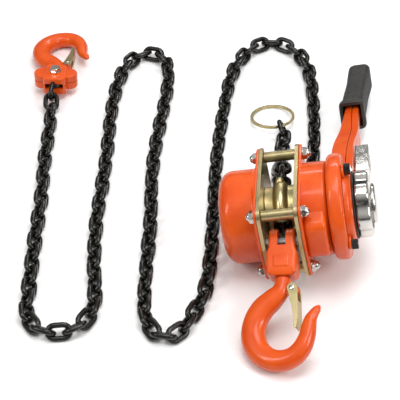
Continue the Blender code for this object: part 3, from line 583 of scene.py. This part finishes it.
LIE = CHAIN_RADIUS + 0.1
LOAD_ROUTE = (
    (-304, 255, 14.5), (-302.4, 236, LIE + 1.5), (-298, 199, LIE), (-294, 131, LIE), (-287, 63, LIE),
    (-283, -7, LIE), (-277, -82, LIE), (-274, -118, LIE), (-263, -138, LIE), (-241, -145, LIE),
    (-219, -138, LIE), (-205, -118, LIE), (-203, -88, LIE), (-211, -38, LIE), (-217, 34, LIE),
    (-218, 96, LIE), (-220, 159, LIE), (-224, 238, LIE), (-221, 304, LIE), (-208, 346, LIE),
    (-184, 360, LIE), (-164, 343, LIE), (-157, 302, LIE), (-158, 243, LIE), (-161, 173, LIE),
    (-160, 108, LIE), (-154, 31, LIE), (-151, -51, LIE), (-146, -112, LIE), (-129, -142, LIE),
    (-108, -137, LIE), (-95, -110, LIE), (-84, -76, LIE), (-81, -28, LIE), (-82, 48, LIE),
    (-84, 131, LIE), (-82, 224, LIE), (-74, 321, LIE), (-53, 376, LIE), (-23, 395, LIE),
    (8, 379, LIE), (27, 335, LIE), (34, 252, LIE), (34, 160, LIE), (27, 120, LIE + 0.4),
    (17, 94, LIE + 4.5), (11, 74, 21.5), (7.4, 58, 31.5), (6.2, 47, 35.5), (5.9, 37.6, 36.5),
)
TAIL_ROUTE = (
    (-4.1, 41.4, 83.5), (-4.2, 51, 82.3), (-5, 66, 75.5), (-6.4, 79, 63), (-7.5, 88, 47), (-8.3, 97, 30),
    (-8.7, 111, 16.4), (-8.4, 130, LIE + 2.0), (-6.2, 158, LIE + 1.3), (-3.6, 178, LIE + 1.8),
    (-3.2, 191.6, LIE + 2.1),
)


def link_rings():
    """The wire of one link, lying in XY with its length along Y, as rings of points."""
    bend = (LINK_WIDTH - WIRE) / 2
    half_straight = (PITCH + WIRE) / 2 - bend
    middle = arc((0, half_straight), bend, 0, 180, 8) + arc((0, -half_straight), bend, 180, 360, 8)
    rings = []
    for i, (x, y) in enumerate(middle):
        along = Vector(middle[(i + 1) % len(middle)]) - Vector(middle[i - 1])
        across = Vector((along.y, -along.x)).normalized()
        ring = []
        for a, b in arc((0, 0), WIRE / 2, 0, 330, 11):
            ring.append((x + across.x * a, y + across.y * a, b))
        rings.append(ring)
    return rings


LINK = link_rings()
WOBBLE = 4.0


def link_place(start, end, width):
    """The frame of a link between two joints, with its broad side along width; all in metres."""
    along = (end - start).normalized()
    across = (width - along * width.dot(along)).normalized()
    turn = Matrix((across, along, across.cross(along))).transposed().to_4x4()
    return Matrix.Translation((start + end) / 2) @ turn


def link_mesh(name, places):
    """Links at the given frames, as one mesh."""
    rings, faces, points = LINK, [], []
    sides = len(rings[0])
    for place in places:
        first = len(points)
        points += [place @ (Vector(p) * MM) / MM for ring in rings for p in ring]
        for i in range(len(rings)):
            for j in range(sides):
                corners = ((i, j), (i + 1, j), (i + 1, j + 1), (i, j + 1))
                faces.append([first + (a % len(rings)) * sides + b % sides for a, b in corners])
    return outward(mesh_object(name, points, faces))


def walk(points, count):
    """Points that split a line of points into count equal stretches."""
    lengths = [0.0]
    for p, q in zip(points, points[1:]):
        lengths.append(lengths[-1] + (q - p).length)
    even, k = [], 0
    for i in range(count + 1):
        target = lengths[-1] * i / count
        while k < len(points) - 2 and lengths[k + 1] < target:
            k += 1
        share = (target - lengths[k]) / (lengths[k + 1] - lengths[k])
        even.append(points[k].lerp(points[k + 1], share))
    return even


def free_run(joints, last_turn):
    """Link frames along the joints of a run. It leaves the sheave with its links flat and upright, lies
    with them all at 45 degrees, and turns to last_turn in its last three links."""
    shake = random.Random(5)
    places = []
    last = len(joints) - 2
    for i, (start, end) in enumerate(zip(joints, joints[1:])):
        along = (end - start).normalized()
        level = along.cross(Vector((0, 0, 1))).normalized()
        upright = level.cross(along)
        base = 45 * eased(i, 0, 5) + (last_turn - 45) * eased(i, last - 3, last)
        roll = base + 90 * (i % 2) + shake.uniform(-WOBBLE, WOBBLE)
        a, b = polar(1.0, roll)
        places.append(link_place(start, end, level * a + upright * b))
    return places


def eased(value, start, end):
    share = min(1.0, max(0.0, (value - start) / (end - start)))
    return share * share * (3 - 2 * share)


def run_line(first, route, last, beyond):
    """A run's whole line in metres: joint, route, joint, without the route's points up to beyond."""
    fine = [FLOOR @ (p * MM) for p in smooth_line(route, 12)]
    while (HOIST.inverted() @ fine[0]).y < beyond * MM:
        fine.pop(0)
    return [first, *fine, last]


def length_of(points):
    return sum((q - p).length for p, q in zip(points, points[1:]))


def hoist_point(x, y, z):
    return HOIST @ (Vector((x, y, z)) * MM)


def build_chain():
    """The load chain to the bottom hook, the stretch on the sheave, and the tail to its ring."""
    joint_y = 2.5 * PITCH
    line = run_line(hoist_point(0, joint_y, -SHEAVE_PITCH_RADIUS), LOAD_ROUTE[::-1],
                    BOTTOM_YOKE @ (Vector((0, PITCH - 4.6, 0)) * MM), joint_y + 2)
    count = round(length_of(line) / (PITCH * MM))
    last_turn = 0 if count % 2 == 0 else 90

    joints = walk(line, count)
    load = link_mesh("load_chain_links", free_run(joints, last_turn))
    show(load, Matrix.Identity(4), "load_chain")

    line = run_line(hoist_point(0, joint_y, SHEAVE_PITCH_RADIUS), TAIL_ROUTE,
                    TAIL_LINK @ (Vector((0, -PITCH / 2, 0)) * MM), joint_y + 2)
    count = round(length_of(line) / (PITCH * MM))
    last_turn = 28 if count % 2 == 1 else -62

    joints = walk(line, count)
    tail = link_mesh("tail_chain_links", free_run(joints, last_turn))
    show(tail, Matrix.Identity(4), "tail_chain")

    radius = SHEAVE_PITCH_RADIUS
    run = [(joint_y - PITCH * i, radius) for i in range(3)]
    held = run + [polar(radius, 112.5 + 45 * i) for i in range(4)] + [(y, -z) for y, z in reversed(run)]
    held = [hoist_point(0, y, z) for y, z in held]
    places = []
    for i, (start, end) in enumerate(zip(held, held[1:])):
        outwards = (start + end) / 2 - SHAFT
        width = ACROSS if i % 2 else (end - start).cross(ACROSS)
        places.append(link_place(start, end, width if outwards.length else ACROSS))
    show(link_mesh("chain_on_sheave_links", places), Matrix.Identity(4), "chain_on_sheave")
    anchor = link_mesh("anchor_link_wire", [moved(0, PITCH / 2 - 4.6, 0)])
    show(anchor, BOTTOM_YOKE, "anchor_link")
    show(link_mesh("tail_end_link_wire", [Matrix.Identity(4)]), TAIL_LINK, "tail_end_link")


def build_end_ring():
    """A split ring: nearly two turns of flat wire that lie on each other."""
    radius, steps, turns = 26.5, 128, 1.93
    rings = []
    for i in range(steps + 1):
        angle = 2 * math.pi * turns * i / steps + 0.9
        height = 0.82 * math.tanh((i / steps - 0.5) * 14)
        out = Vector((math.sin(angle), -math.cos(angle)))
        ring = []
        for a, b in rounded_rectangle(1.7, 0.8, 0.5, 3):
            ring.append((out.x * (radius + a), radius + out.y * (radius + a), height + b))
        rings.append(ring)
    show(skin("end_split_ring", rings), RING, "end_ring")


# ---------------------------------------------------------------- body and covers


def plate_outline(corner=CORNER):
    return hull_outline([(centre, corner) for centre in STAYS.values()] + [((TOP_PIN_Y, 0.0), 14.0)])


def bolt_holes(x0, x1):
    return [rod("hole", x0, x1, 4.3, 32, centre) for centre in STAYS.values()]


def build_side_plates():
    for name, side in (("gear", -1), ("brake", 1)):
        x0, x1 = sorted((side * INNER, side * OUTER))
        plate = prism(f"side_plate_{name}_steel", plate_outline(), x0, x1)
        shaft_hole = rod("hole", x0 - 1, x1 + 1, 14.4, 64)
        pin_hole = rod("hole", x0 - 1, x1 + 1, 5.2, 32, (TOP_PIN_Y, 0.0))
        cut(plate, shaft_hole, pin_hole, *bolt_holes(x0 - 1, x1 + 1))
        show(soften(plate, 0.5), HOIST, f"side_plate_{name}")


def build_gear_cover():
    """A deep pressed cap with a broad round shoulder, on a flange that follows the side plate."""
    end, fillet = -GEAR_COVER_END, 14.0
    corner = arc((end + fillet, COVER_RADIUS - fillet), fillet, 180, 90, 10)
    root = arc((-FLANGE_FACE - 4, COVER_RADIUS + 4), 4, 270, 360, 5)
    seat = -FLANGE_FACE + 0.5
    profile = [(end, 0), (end, 30), *corner, *root, (seat, COVER_RADIUS + 4), (seat, 0)]
    cap = turn_profile("cap", profile, 96)
    flange = prism("gear_cover_shell", plate_outline(CORNER - 0.6), -FLANGE_FACE, -OUTER - 0.3)
    soften(flange, 0.9)
    common(cap, prism("trim", plate_outline(CORNER - 1.0), end - 1, 0))
    inside = [(end + 3, 0), *arc((end + fillet, COVER_RADIUS - fillet), fillet - 3, 180, 90, 6)]
    inside += [(-OUTER + 1, COVER_RADIUS - 3), (-OUTER + 1, 0)]
    hollow = turn_profile("hollow", inside, 64)
    cut(join(flange, cap), hollow, *bolt_holes(-FLANGE_FACE - 1, -OUTER + 1))
    show(flange, HOIST, "gear_cover", sharp=32)


def build_brake_cover():
    """The cast shell over the brake: a round drum whose root runs out into a lobed body on the flange."""
    end, fillet = BRAKE_COVER_END, 4.0
    start = FLANGE_FACE - 0.5
    corner = arc((end - fillet, COVER_RADIUS - fillet), fillet, 90, 0, 5)
    drum = turn_profile("drum", [(start, 0), (start, COVER_RADIUS), *corner, (end, 0)], 96)
    lobe = hull_outline([((-48, 13), 12), ((-48, -13), 12), ((0, 30), 18), ((0, -30), 18)])
    body = soften(prism("lobe", lobe, start, BRAKE_LOBE_END), 4.5, 5)
    flange = prism("brake_cover_shell", plate_outline(CORNER - 0.6), OUTER + 0.3, FLANGE_FACE)
    join(soften(flange, 0.9), body, drum)
    face = end - 2.8
    inside = [(OUTER - 1, 0), (OUTER - 1, COVER_RADIUS - 3), (face, COVER_RADIUS - 3)]
    hollow = turn_profile("hollow", inside + [(face, 18), (end + 1, 18), (end + 1, 0)], 64)
    cut(flange, hollow, *bolt_holes(OUTER - 1, FLANGE_FACE + 1))
    show(flange, HOIST, "brake_cover", sharp=32)


def hexagon_nut(name, x0, x1, size, centre=(0.0, 0.0), turn=0.0):
    """A hexagon with its corners turned down to a cone on the outer side, at x1."""
    outline = shifted(arc((0, 0), size, turn, turn + 300, 5), centre)
    nut = prism(name, outline, *sorted((x0, x1)))
    step = math.copysign(1.0, x1 - x0)
    cone = [(x0 - step, 0), (x0 - step, size + 1), (x1 - 1.6 * step, size + 0.3), (x1, size - 1.1), (x1, 0)]
    return soften(common(nut, turn_profile("cone", cone, 48, centre)), 0.25)


def build_stays():
    """Shouldered bars with a spring washer and a cap nut on each end."""
    bar_end, thread_end = INNER - 0.3, FLANGE_FACE + 5.5
    for index, (name, centre) in enumerate(STAYS.items()):
        half = [(bar_end - 0.6, 6.0), (bar_end, 5.4), (bar_end, 4.0), (thread_end, 4.0), (thread_end, 0)]
        profile = [(-x, r) for x, r in reversed(half)] + half
        show(turn_profile(f"stay_{name}_bar", profile, 32, centre), HOIST, f"stay_{name}")
        for end, side in (("gear", -1), ("brake", 1)):
            seat = FLANGE_FACE + 0.3
            turn = 17 * index + 11 * side
            low, high = side * (seat + 0.6), side * (seat + 5.2)
            nut = hexagon_nut(f"cap_nut_{name}_{end}", low, high, 7.0, centre, turn)
            dome = [(side * (seat + 4.0), 0), (side * (seat + 4.0), 4.9), (side * (seat + 6.0), 4.7)]
            dome += [(side * (seat + 6.0 + h), r) for h, r in ((1.4, 4.0), (2.6, 2.6), (3.2, 0))]
            low, high = side * seat, side * (seat + 0.9)
            washer = [(low, 4.4), (low, 7.2), (high, 7.2), (high, 4.4)]
            washer = turn_profile("washer", washer, 32, centre, closed=True)
            join(nut, turn_profile("dome", dome, 32, centre), washer)
            show(nut, HOIST, f"nut_{name}_{end}")


def build_chain_guide():
    """The stamped strap over the sheave, with its raised rib."""
    bulge = [(-x, r) for x, r in arc((0, 32.5), 7.5, 8, 172, 14)]
    outer = [(-17.2, 30.9), (-17.2, 32.6), (-9.2, 32.6), (-8.2, 32.9)]
    outer += [*bulge, (8.2, 32.9), (9.2, 32.6), (17.2, 32.6)]
    inner = [(17.2, 30.9), (7.0, 30.9), *arc((0, 31), 5.6, 10, 170, 8), (-7.0, 30.9)]
    first, last, steps = 80.0, 158.0, 26
    rings = []
    for i in range(steps + 1):
        angle = first + (last - first) * i / steps
        rings.append([(x, *polar(r, angle)) for x, r in outer + inner])
    guide = skin("chain_guide_strap", rings)
    y, z = polar(38.4, first + 2)
    crown = [(4.8 * x, 5.2 * r) for x, r in arc((0, 0), 1, 180, 0, 12)]
    knob = turn_profile("knob", crown[1:-1], 32, (y, z))
    show(soften(join(guide, knob), 0.5, 2, 25), HOIST, "chain_guide")


def build_sheave():
    groove = CHAIN_RADIUS + 0.45
    flank = arc((0, SHEAVE_PITCH_RADIUS), groove, 176, 244, 8)
    left = [(-36, 6.5), (-36, 11), (-OUTER - 0.5, 11), (-OUTER - 0.5, 14), (-INNER + 0.4, 14)]
    left += [(-INNER + 0.4, 16.5), (-15.6, 17.5), (-15.6, 28.2), (-14.4, 29.4), (-10.4, 29.4)]
    left += [*flank, (flank[-1][0], 13.2)]
    right = [(-x, r) for x, r in reversed(left[2:])]
    right[-2:] = [(OUTER - 0.6, 14), (OUTER - 0.6, 6.5)]
    sheave = turn_profile("load_sheave_wheel", left + right, 72, closed=True)
    pockets = []
    for i in range(4):
        pocket = slab("pocket", rounded_rectangle(11, 15.6, 5), 20.4, 34)
        pocket.matrix_world = turned("X", 45 + 90 * i)
        pockets.append(pocket)
    show(soften(cut(sheave, *pockets), 0.5, 2, 35), HOIST, "load_sheave")


# ---------------------------------------------------------------- lever


def arm_section(station, z_wall=0.0, x_low=0.0, x_high=0.0):
    y, x0, x1, half = station
    return [(x0 + x_low, y, -half + z_wall), (x1 + x_high, y, -half + z_wall),
            (x1 + x_high, y, half - z_wall), (x0 + x_low, y, half - z_wall)]


def arm(name, stations, **walls):
    """The arm between its stations, (y, x0, x1, half width), on smooth lines."""
    return skin(name, [arm_section(tuple(s), **walls) for s in smooth_line(stations, 5)])


def build_lever():
    stations = [(35, 52.8, 69, 25), (76, 52.2, 69, 21), (112, 54, 70.7, 17), (150, 60, 73.8, 12.5)]
    stations += [(205, 65.5, 73.8, 9), (286, 73.2, 81.5, 9)]
    rim = [(52.2, 54.2), (52.7, 55.9), (54.0, 57.3), (56.0, 58.2), (58.6, LEVER_RADIUS)]
    rim += [(63.4, LEVER_RADIUS), (66.0, 58.1), (67.8, 57.0), (68.8, 55.4), (69, 53.8)]
    profile = [(52.2, 18), *rim, (69, 18)]
    dish = turn_profile("lever_inner_casting", profile, 96, closed=True)
    join(dish, soften(arm("arm", stations), 1.6, 3))
    cavity = turn_profile("cavity", [(55, 0), (55, 47.5), (72, 47.5), (72, 0)], 64)
    channel = arm("channel", stations[:3], z_wall=2.6, x_low=2.6, x_high=6)
    bolts = [rod("hole", 58, 72, 2.8, 24, polar(LEVER_BOLT_RADIUS, a)) for a in LEVER_BOLT_ANGLES]
    show(cut(dish, cavity, channel, *bolts), LEVER, "lever_inner_half", sharp=30)

    stations = [(30, 69.3, 77.2, 24), (76, 69.3, 77.6, 20.5), (112, 71, 78, 17), (150, 74.1, 82.4, 12.5)]
    stations += [(205, 74.1, 82, 9), (286, 81.8, 89.7, 9)]
    profile = [(69.3, 14.6), (69.3, 47.2), (72.6, 46.8), (74.8, 45.4), (76.6, 43), (77.4, 40), (77.4, 14.6)]
    dome = turn_profile("lever_outer_casting", profile, 96, closed=True)
    ears = [prism("ear", arc(polar(49.5, a), 8.0, 0, 345, 23), 69.3, 72) for a in LEVER_BOLT_ANGLES]
    join(dome, soften(arm("arm", stations), 1.6, 3), *[soften(ear, 0.6) for ear in ears])
    cavity = turn_profile("cavity", [(68, 0), (68, 42), (74.9, 41), (74.9, 0)], 64)
    channel = arm("channel", stations[:3], z_wall=2.6, x_low=-2, x_high=-2.6)
    pivot = rod("hole", 60, 90, 4.4, 32, (62.0, 0))
    bolts = [rod("hole", 68, 73, 2.8, 24, polar(LEVER_BOLT_RADIUS, a)) for a in LEVER_BOLT_ANGLES]
    show(cut(dome, cavity, channel, pivot, *bolts), LEVER, "lever_outer_half", sharp=30)

    for index, angle in enumerate(LEVER_BOLT_ANGLES):
        centre = polar(LEVER_BOLT_RADIUS, angle)
        head = hexagon_nut(f"lever_bolt_{index + 1}_head", 72.3, 79.2, 6.2, centre, 23 * index)
        show(join(head, rod("bolt", 60, 75, 2.5, 24, centre)), LEVER, f"lever_bolt_{index + 1}")


def build_grip():
    """The moulded sleeve: smooth above and below, with close ribs across both sides and a rolled mouth."""
    start, end, step = 203.0, 310.0, 0.8
    sizes = [(203, 1.4), (205, 2.2), (209, 2.1), (212, 0.9), (216, 0), (262, -0.6), (300, 0.4)]
    sizes += [(304, 0.4), (308, -0.6), (310, -2.6)]

    def middle(y):
        return 73.95 + (y - 205) * 0.095

    def grow(y):
        for (y0, g0), (y1, g1) in zip(sizes, sizes[1:]):
            if y <= y1:
                return g0 + (g1 - g0) * eased(y, y0, y1)
        return sizes[-1][1]

    rings = []
    for i in range(round((end - start) / step) + 1):
        y = start + (end - start) * i / round((end - start) / step)
        size = grow(y)
        ribbed = eased(y, 216, 220) * (1 - eased(y, 296, 300))
        depth = 0.75 * ribbed * (0.5 - 0.5 * math.cos(2 * math.pi * (y - 218) / 4.0)) ** 0.7
        ring = []
        for a, b in rounded_rectangle(13.2 + size, 17.8 + size, 6.5, 5):
            side = 1 - eased(abs(b), 13.0, 15.5)
            ring.append((middle(y) + a - math.copysign(depth * side, a), y, b))
        rings.append(ring)
    grip = skin("lever_grip_sleeve", rings)
    bore = skin("bore", [arm_section((y, middle(y) - 9.0, middle(y) + 9.0, 9.6)) for y in (195, 287)])
    mouth = skin("mouth", [arm_section((y, middle(y) - 11.2, middle(y) + 11.2, 15.2)) for y in (195, 222)])
    show(cut(grip, bore, mouth), LEVER, "lever_grip", sharp=50)


def build_selector():
    """The knob of the change pawl: a thick hooked tab round a raised boss."""
    outline = arc((0, 0), 9.5, 110, 250, 16) + [(10, -10.5), (40, -12.5), (47, -5), (47, 12.5), (10, 10.5)]
    knob = prism("selector_knob_tab", outline, 78.6, 94)
    hollow = prism("hollow", [(12, -8), (38, -10), (44.5, -4), (44.5, 10), (12, 8)], 81.5, 96)
    cut(knob, hollow, rod("bore", 77, 90, 4.4, 32))
    show(soften(knob, 1.1, 3), SELECTOR, "selector_knob")


def build_handwheel():
    """The cast free-chaining wheel: six lobes, a rounded rim, a dished face and a dark disc behind it."""
    lobes, steps = 6, 180
    rims = [(79.8, 0.955), (80.2, 0.975), (81.4, 0.997), (83.0, 1.0)]
    rims += [(91.5, 0.995), (93.4, 0.985), (94.8, 0.96), (95.4, 0.93)]
    rings = []
    for x, size in rims:
        ring = []
        for i in range(steps):
            angle = 2 * math.pi * i / steps
            radius = WHEEL_RADIUS * size - 4.2 * (0.5 - 0.5 * math.cos(lobes * angle)) ** 1.6
            ring.append((x, radius * math.cos(angle), radius * math.sin(angle)))
        rings.append(ring)
    wheel = skin("handwheel_casting", rings)
    dish = [(89.6, 0), (89.6, 23), (90.1, 25), (91.4, 27), (93.6, 28.4), (96.5, 29.5), (96.5, 0)]
    dish = turn_profile("dish", dish, 96)
    back = turn_profile("back", [(78.5, 17), (78.5, 31), (84.8, 31), (84.8, 17)], 64, closed=True)
    bore = turn_profile("bore", [(78.5, 0), (78.5, 14.4), (84.4, 14.4), (84.4, 12), (98, 12), (98, 0)], 64)
    show(cut(wheel, dish, back, bore), HOIST, "handwheel", sharp=35)
    disc = [(77.8, 14.5), (77.8, 36.9), (78.1, 37.3), (78.9, 37.3), (79.2, 36.9), (79.2, 14.5)]
    show(turn_profile("dust_disc_rubber", disc, 96, closed=True), HOIST, "dust_disc")
    cap = [(90.6, 0), (90.6, 9), (96.2, 9), (96.2, 21.2), (96.6, 21.6), (98.4, 22), (99.6, 21.7)]
    cap += [(100.6, 20.9), (101.2, 19.6), (102, 9), (102, 0)]
    show(turn_profile("end_cap_cover", cap, 72), HOIST, "end_cap")


# ---------------------------------------------------------------- hooks

# Along the hook from shank to tip, as (x, y, width, thickness)
SPINE = (
    (0.2, 57.0, 17.6, 17.0), (-0.2, 51.0, 17.0, 17.0), (-3.2, 43.2, 19.4, 18.4),
    (-11.2, 35.8, 23.4, 19.8), (-21.8, 27.0, 25.6, 20.6), (-29.2, 15.4, 26.0, 21.0),
    (-32.4, 1.6, 26.4, 21.2), (-30.6, -10.6, 26.2, 21.4), (-25.2, -20.4, 25.4, 21.4),
    (-16.6, -27.8, 24.2, 21.4), (-6.4, -31.6, 22.8, 21.2), (4.6, -31.6, 21.8, 20.8),
    (14.6, -27.6, 20.8, 20.0), (22.4, -19.2, 19.6, 18.6), (27.2, -8.4, 17.6, 16.6),
    (29.2, 2.0, 16.0, 14.6), (31.2, 10.0, 13.2, 12.4), (34.8, 16.0, 10.2, 10.4),
    (38.0, 20.0, 8.2, 8.8), (40.0, 22.6, 4.8, 5.4),
)


def hook_ring(point, direction, width, thickness, sides=28):
    """A section across the hook: fuller than an ellipse, as a forging is."""
    across = Vector((direction.y, -direction.x))
    ring = []
    for i in range(sides):
        a, b = math.cos(2 * math.pi * i / sides), math.sin(2 * math.pi * i / sides)
        full = (abs(a) ** 2.2 + abs(b) ** 2.2) ** (-1 / 2.2)
        side = across * (width / 2 * a * full)
        ring.append((point[0] + side.x, point[1] + side.y, thickness / 2 * b * full))
    return ring


def build_hook(end, place, shank, size):
    rings = [hook_ring((0, v), Vector((0, -1)), wide, wide) for v, wide in shank]
    line = smooth_line(SPINE, 4)
    for i, (x, y, width, thickness) in enumerate(line):
        along = Vector(line[min(i + 1, len(line) - 1)][:2]) - Vector(line[max(i - 1, 0)][:2])
        rings.append(hook_ring((x, y), along.normalized(), width, thickness))
    tip = line[-1]
    rings.append(hook_ring((tip[0] + 0.9, tip[1] + 1.2), along.normalized(), tip[2] * 0.55, tip[3] * 0.55))
    hook = skin(f"{end}_hook_forging", rings)
    ear = facing(rod("ear", -4.0, 4.0, 5.2, 32), "Y", 90)
    ear.matrix_world = moved(*LATCH_PIVOT, 0)
    web = box("web", (2, 39.5, -4.0), (12.4, 48.5, 4.0))
    join(hook, join(web, soften(ear, 0.5)))
    hole = facing(rod("hole", -8, 8, 1.9, 20), "Y", 90)
    hole.matrix_world = moved(*LATCH_PIVOT, 0)
    cut(hook, hole).data.transform(Matrix.Scale(size, 4))
    show(hook, place, f"{end}_hook", material=CAST_PAINT, sharp=45)


def build_latch(end, place, size):
    reach = -44.0
    outline = arc((0, 0), 5.6, 20, 180, 14) + [(-3.8, -5), (0.2, -22), (2.2, -34), (2.4, reach)]
    outline += [(5.2, reach), (6.8, -34), (6.6, -20), (6.2, -5)]
    keeper = slab(f"{end}_latch_pressing", outline, -7.2, 7.2)
    inside = arc((0, 0), 8.5, 20, 180, 8) + [(-8, -5), (-4, -22), (-2, -34), (-2, reach - 3)]
    inside += [(2.9, reach - 3), (4.4, -34), (4.4, -20), (8.6, -8)]
    channel = slab("channel", inside, -4.9, 4.9)
    hole = facing(rod("hole", -9, 9, 1.9, 20), "Y", 90)
    soften(cut(keeper, channel, hole), 0.45).data.transform(Matrix.Scale(size, 4))
    show(keeper, place, f"{end}_latch")
    half = [(7.5, 1.6), (7.5, 3.0), (8.2, 2.8), (8.6, 1.8), (8.6, 0)]
    rivet = turn_profile(f"{end}_latch_rivet_head", [(-x, r) for x, r in reversed(half)] + half, 24)
    rivet.data.transform(Matrix.Scale(size, 4) @ turned("Y", 90))
    show(rivet, place, f"{end}_latch_rivet")


def build_top_yoke():
    """The forged fork that hangs on the top pin, with the hook's collar in its pocket."""
    foot = 59.0 - PIN_TO_BOWL
    end_radius = 13.4
    stations = [(foot, 12.5, 10.5), (foot + 3, YOKE_HALF_WIDTH - 0.4, 12.6)]
    stations += [(foot + 9, YOKE_HALF_WIDTH, end_radius), (-16, YOKE_HALF_WIDTH, end_radius)]
    stations += [(-11, PRONG_HALF_WIDTH, end_radius)]
    for angle in (0, 15, 30, 45, 60, 72, 82):
        y, z = polar(end_radius, 90 - angle)
        stations.append((y, PRONG_HALF_WIDTH, z))
    rings = []
    for y, width, depth in stations:
        rings.append([(a, y, b) for a, b in rounded_rectangle(width, depth, min(3.2, depth * 0.9), 4)])
    yoke = skin("top_yoke_forging", rings)
    face = soften(box("face", (-9.5, -34.5, 9), (9.5, -19.5, 14.4)), 2.6, 4)
    slot = box("slot", (-4.6, -9, -15), (4.6, 15, 15))
    pocket = facing(rod("pocket", -24.5, -8, 11.4, 48), "Z", 90)
    pin = rod("pin", -20, 20, 6.0, 32)
    shank = facing(rod("shank", foot - 2, -20, 7.1, 32), "Z", 90)
    soften(cut(join(yoke, face), slot, pocket, pin, shank), 0.8, 2, 40)
    show(yoke, TOP_YOKE, "top_yoke", material=CAST_PAINT, sharp=40)


def build_yoke_half(name, side):
    plan = hull_outline([(centre, 6) for centre in ((-8, -12.2), (8, -12.2), (-9, 13), (9, 13))], 40)
    body = soften(slab(f"bottom_yoke_{name}_casting", plan, side * 0.2, side * 11.6), 1.4, 3)
    for centre in ((-17, -1), (17, -1)):
        lobe = slab("lobe", arc(centre, 11, 0, 354, 59), side * 0.2, side * 9.6)
        join(body, soften(lobe, 1.4, 3))
    boss = slab("boss", shifted(rounded_rectangle(10.5, 8.5, 2, 4), (0, -1)), side * 9.5, side * 12.6)
    join(body, soften(boss, 0.8))
    shank = facing(rod("shank", -22, -11, 7.1, 32), "Z", 90)
    head = facing(rod("head", -15.5, -10.9, 10.4, 48), "Z", 90)
    room = box("room", (-11.6, -11.2, -4.0), (11.6, 30, 4.0))
    bolt = facing(rod("bolt", -20, 20, 4.0, 24), "Y", 90)
    cut(body, shank, head, room, bolt)
    show(body, BOTTOM_YOKE, f"bottom_yoke_{name}", material=CAST_PAINT, sharp=35)


def build_bottom_yoke():
    build_yoke_half("upper", 1)
    build_yoke_half("lower", -1)
    bolt = hexagon_nut("yoke_bolt_head", 12.9, 18, 6.6, turn=12)
    washer = turn_profile("washer", [(12.8, 3.4), (12.8, 7.4), (13.8, 7.4), (13.8, 3.4)], 32, closed=True)
    join(bolt, rod("bolt", -11.5, 14, 3.6, 24), washer)
    show(facing(bolt, "Y", -90), BOTTOM_YOKE, "yoke_bolt")


# ---------------------------------------------------------------- the whole scene


def dress_frame():
    """Give every CAD node that stays in view the finish that its record slot names."""
    for name, node in NODES.items():
        for slot in node.material_slots:
            slot.material = MATERIALS[SLOTS[name]]


build_camera()
build_studio()
dress_frame()
build_chain()
build_end_ring()
build_side_plates()
build_gear_cover()
build_brake_cover()
build_stays()
build_chain_guide()
build_sheave()
build_lever()
build_grip()
build_selector()
build_handwheel()
build_hook("top", TOP_HOOK, ((87.0, 13.2), (57.8, 13.2)), 1.0)
build_latch("top", TOP_LATCH, 1.0)
build_top_yoke()
build_hook("bottom", BOTTOM_HOOK, ((65.0, 19.0), (61.4, 19.0), (61.2, 13.2), (57.8, 13.2)), BOTTOM_HOOK_SIZE)
build_latch("bottom", BOTTOM_LATCH, BOTTOM_HOOK_SIZE)
build_bottom_yoke()
